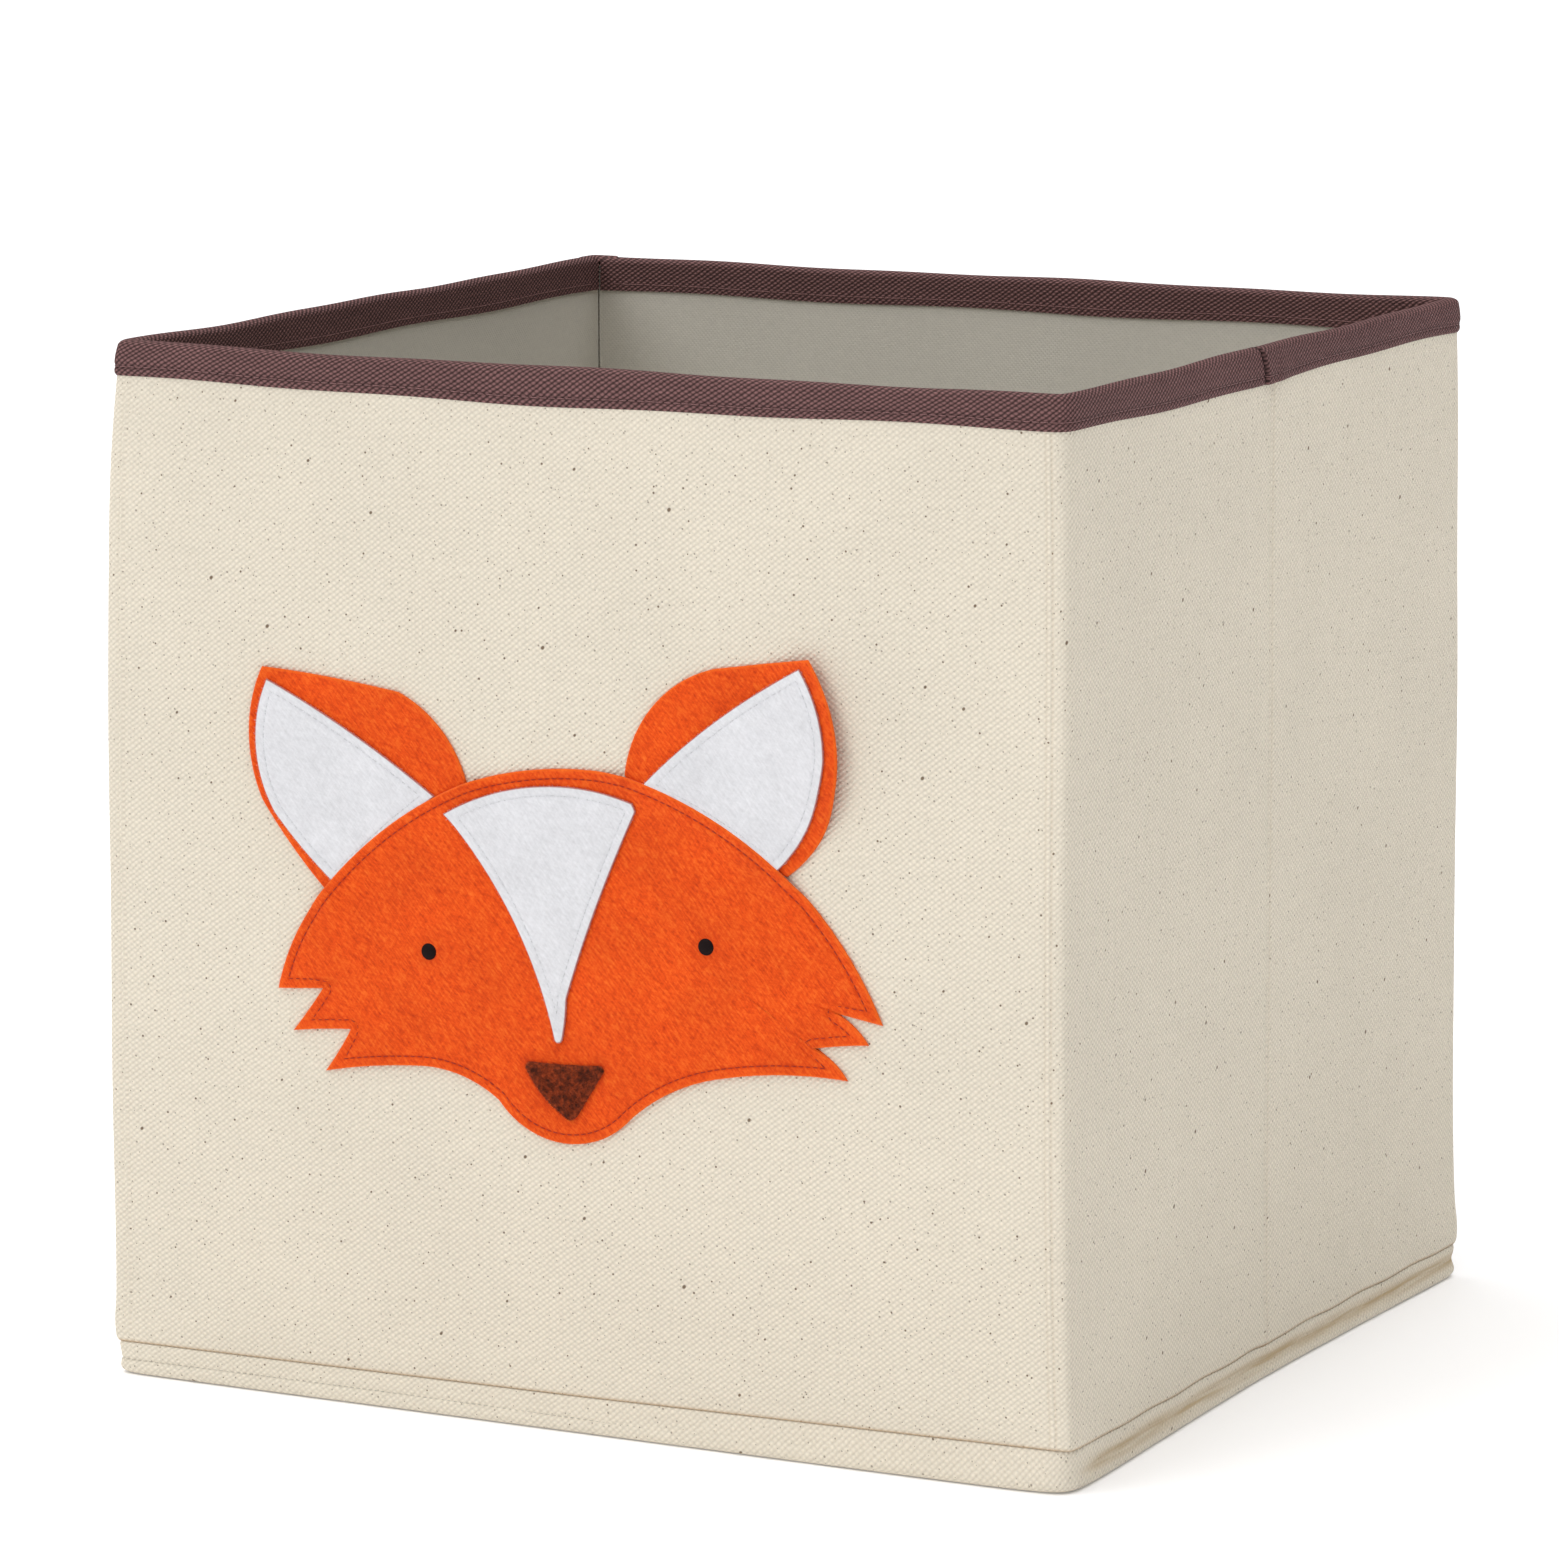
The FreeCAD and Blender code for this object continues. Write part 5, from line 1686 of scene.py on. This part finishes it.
CAMERA_TURN = 26.696
CAMERA_PITCH = 9.708
CAMERA_PLACE = (1.00922, -2.02671, 0.57121)
CAMERA_LENS = 163.115

# Each lamp: strength, spread in degrees and the way its light goes.
KEY_LIGHT = (0.58, 32, (0.55, 0.80, -0.75))
TOP_LIGHT = (2.50, 80, (0.0, 0.001, -1))
SKY_DARK, SKY_BRIGHT = 0.04, 0.475
SKY_BRIGHT_WAY = (-0.62, -0.62, 0.48)
FLOOR_GLOW = 0.10


def soft_sun(name, strength, spread, direction):
    """A wide, soft distant light that shines along a direction."""
    light = bpy.data.lights.new(name, "SUN")
    light.energy = strength
    light.angle = math.radians(spread)
    lamp = bpy.data.objects.new(name, light)
    from_light = np.array(direction, float)
    x, y, z = from_light / np.linalg.norm(from_light)
    lamp.rotation_euler = (math.acos(-z), 0, math.atan2(-x, y) if abs(x) + abs(y) > 1e-6 else 0)
    bpy.context.scene.collection.objects.link(lamp)
    return lamp


def set_stage():
    """A pale floor that glows a little, a soft studio sky that is brighter at the front left,
    two soft lights and the camera."""
    scene = bpy.context.scene
    scene.view_settings.view_transform = "Standard"
    finish = Finish("studio_floor", 0.8)
    finish.shader.inputs["Emission Color"].default_value = (1.0, 1.0, 1.0, 1.0)
    finish.shader.inputs["Emission Strength"].default_value = FLOOR_GLOW
    point = finish.node("ShaderNodeTexCoord", {}).outputs["Object"]
    cloud = finish.noise(point, 3.0, 2.0)
    base = tuple(tints().floor)
    body = finish.scaled(base, finish.span(cloud, 0.3, 0.7, 0.99, 1.01))
    side = np.linspace(-30, 30, 13)
    x, y = np.meshgrid(side, side)
    floor = new_piece("studio_floor", np.stack([x, y, 0 * x - 0.05 * MM], -1),
                      grid_quads(13, 13), finish.done(body))

    world = bpy.data.worlds.new("studio_sky")
    scene.world = world
    world.use_nodes = True
    tree = world.node_tree
    back = tree.nodes["Background"]
    way = tree.nodes.new("ShaderNodeTexCoord")
    dot = tree.nodes.new("ShaderNodeVectorMath")
    dot.operation = "DOT_PRODUCT"
    dot.inputs[1].default_value = SKY_BRIGHT_WAY
    level = tree.nodes.new("ShaderNodeMapRange")
    level.inputs["From Min"].default_value = -1
    level.inputs["To Min"].default_value = SKY_DARK
    level.inputs["To Max"].default_value = SKY_BRIGHT
    back.inputs["Color"].default_value = (1.0, 0.995, 0.985, 1)
    tree.links.new(way.outputs["Generated"], dot.inputs[0])
    tree.links.new(dot.outputs["Value"], level.inputs["Value"])
    tree.links.new(level.outputs[0], back.inputs["Strength"])

    soft_sun("key_light", *KEY_LIGHT)
    soft_sun("top_light", *TOP_LIGHT)

    camera = bpy.data.cameras.new("camera")
    camera.lens = CAMERA_LENS
    camera.sensor_width = 36
    camera.clip_start, camera.clip_end = 0.05, 100
    seat = bpy.data.objects.new("camera", camera)
    seat.location = CAMERA_PLACE
    seat.rotation_euler = (math.radians(90 - CAMERA_PITCH), 0, math.radians(CAMERA_TURN))
    scene.collection.objects.link(seat)
    scene.camera = seat


# Add-on ------------------------------------------------------------------------------------


class SewCanvasOperator(bpy.types.Operator):
    """Sew the outer canvas round the boards"""

    bl_idname = "storage_bin.sew_canvas"
    bl_label = "Sew Canvas"

    def execute(self, context):
        sew_canvas()
        return {"FINISHED"}


class SewLiningOperator(bpy.types.Operator):
    """Sew the lining inside the walls"""

    bl_idname = "storage_bin.sew_lining"
    bl_label = "Sew Lining"

    def execute(self, context):
        sew_lining()
        return {"FINISHED"}


class BindRimOperator(bpy.types.Operator):
    """Fold the tape over the rim and stitch it"""

    bl_idname = "storage_bin.bind_rim"
    bl_label = "Bind Rim"

    def execute(self, context):
        bind_rim()
        stitch_rim()
        return {"FINISHED"}


class SewBottomOperator(bpy.types.Operator):
    """Sew the bottom band, the bottom canvas and its lining"""

    bl_idname = "storage_bin.sew_bottom"
    bl_label = "Sew Bottom"

    def execute(self, context):
        sew_band()
        sew_bottom()
        sew_seam_threads()
        return {"FINISHED"}


class CoverInsertOperator(bpy.types.Operator):
    """Wrap the loose insert in cloth"""

    bl_idname = "storage_bin.cover_insert"
    bl_label = "Cover Insert"

    def execute(self, context):
        cover_insert()
        return {"FINISHED"}


class CutBoardsOperator(bpy.types.Operator):
    """Cut the boards inside the walls"""

    bl_idname = "storage_bin.cut_boards"
    bl_label = "Cut Boards"

    def execute(self, context):
        cut_boards()
        return {"FINISHED"}


class CutFoxOperator(bpy.types.Operator):
    """Cut, sew and fluff the felt fox"""

    bl_idname = "storage_bin.cut_fox"
    bl_label = "Cut Fox"

    def execute(self, context):
        cut_fox()
        return {"FINISHED"}


class SetEyesOperator(bpy.types.Operator):
    """Set the fox's eyes"""

    bl_idname = "storage_bin.set_eyes"
    bl_label = "Set Eyes"

    def execute(self, context):
        set_eyes()
        return {"FINISHED"}


class SetStageOperator(bpy.types.Operator):
    """Set the floor, the lights and the camera"""

    bl_idname = "storage_bin.set_stage"
    bl_label = "Set Stage"

    def execute(self, context):
        set_stage()
        return {"FINISHED"}


STEPS = (CutBoardsOperator, SewCanvasOperator, SewLiningOperator, BindRimOperator,
         SewBottomOperator, CoverInsertOperator, CutFoxOperator, SetEyesOperator, SetStageOperator)


class StorageBinPanel(bpy.types.Panel):
    """Sizes, colours and steps of the storage bin"""

    bl_idname = "VIEW3D_PT_storage_bin"
    bl_label = "Storage Bin"
    bl_space_type = "VIEW_3D"
    bl_region_type = "UI"
    bl_category = "Storage Bin"

    def draw(self, context):
        for group in (context.scene.storage_bin_sizes, context.scene.storage_bin_colours):
            box = self.layout.box()
            for key in group.__annotations__:
                box.prop(group, key)
        for step in STEPS:
            self.layout.operator(step.bl_idname)


CLASSES = (StorageBinSizes, StorageBinColours, *STEPS, StorageBinPanel)


def register():
    """Add the sizes, the colours, the steps and the panel."""
    for item in CLASSES:
        bpy.utils.register_class(item)
    bpy.types.Scene.storage_bin_sizes = PointerProperty(type=StorageBinSizes)
    bpy.types.Scene.storage_bin_colours = PointerProperty(type=StorageBinColours)


def unregister():
    """Take them away again."""
    del bpy.types.Scene.storage_bin_colours
    del bpy.types.Scene.storage_bin_sizes
    for item in reversed(CLASSES):
        bpy.utils.unregister_class(item)


def main():
    """Register the add-on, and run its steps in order."""
    register()
    for step in STEPS:
        group, name = step.bl_idname.split(".")
        getattr(getattr(bpy.ops, group), name)()


if __name__ == "__main__":
    main()
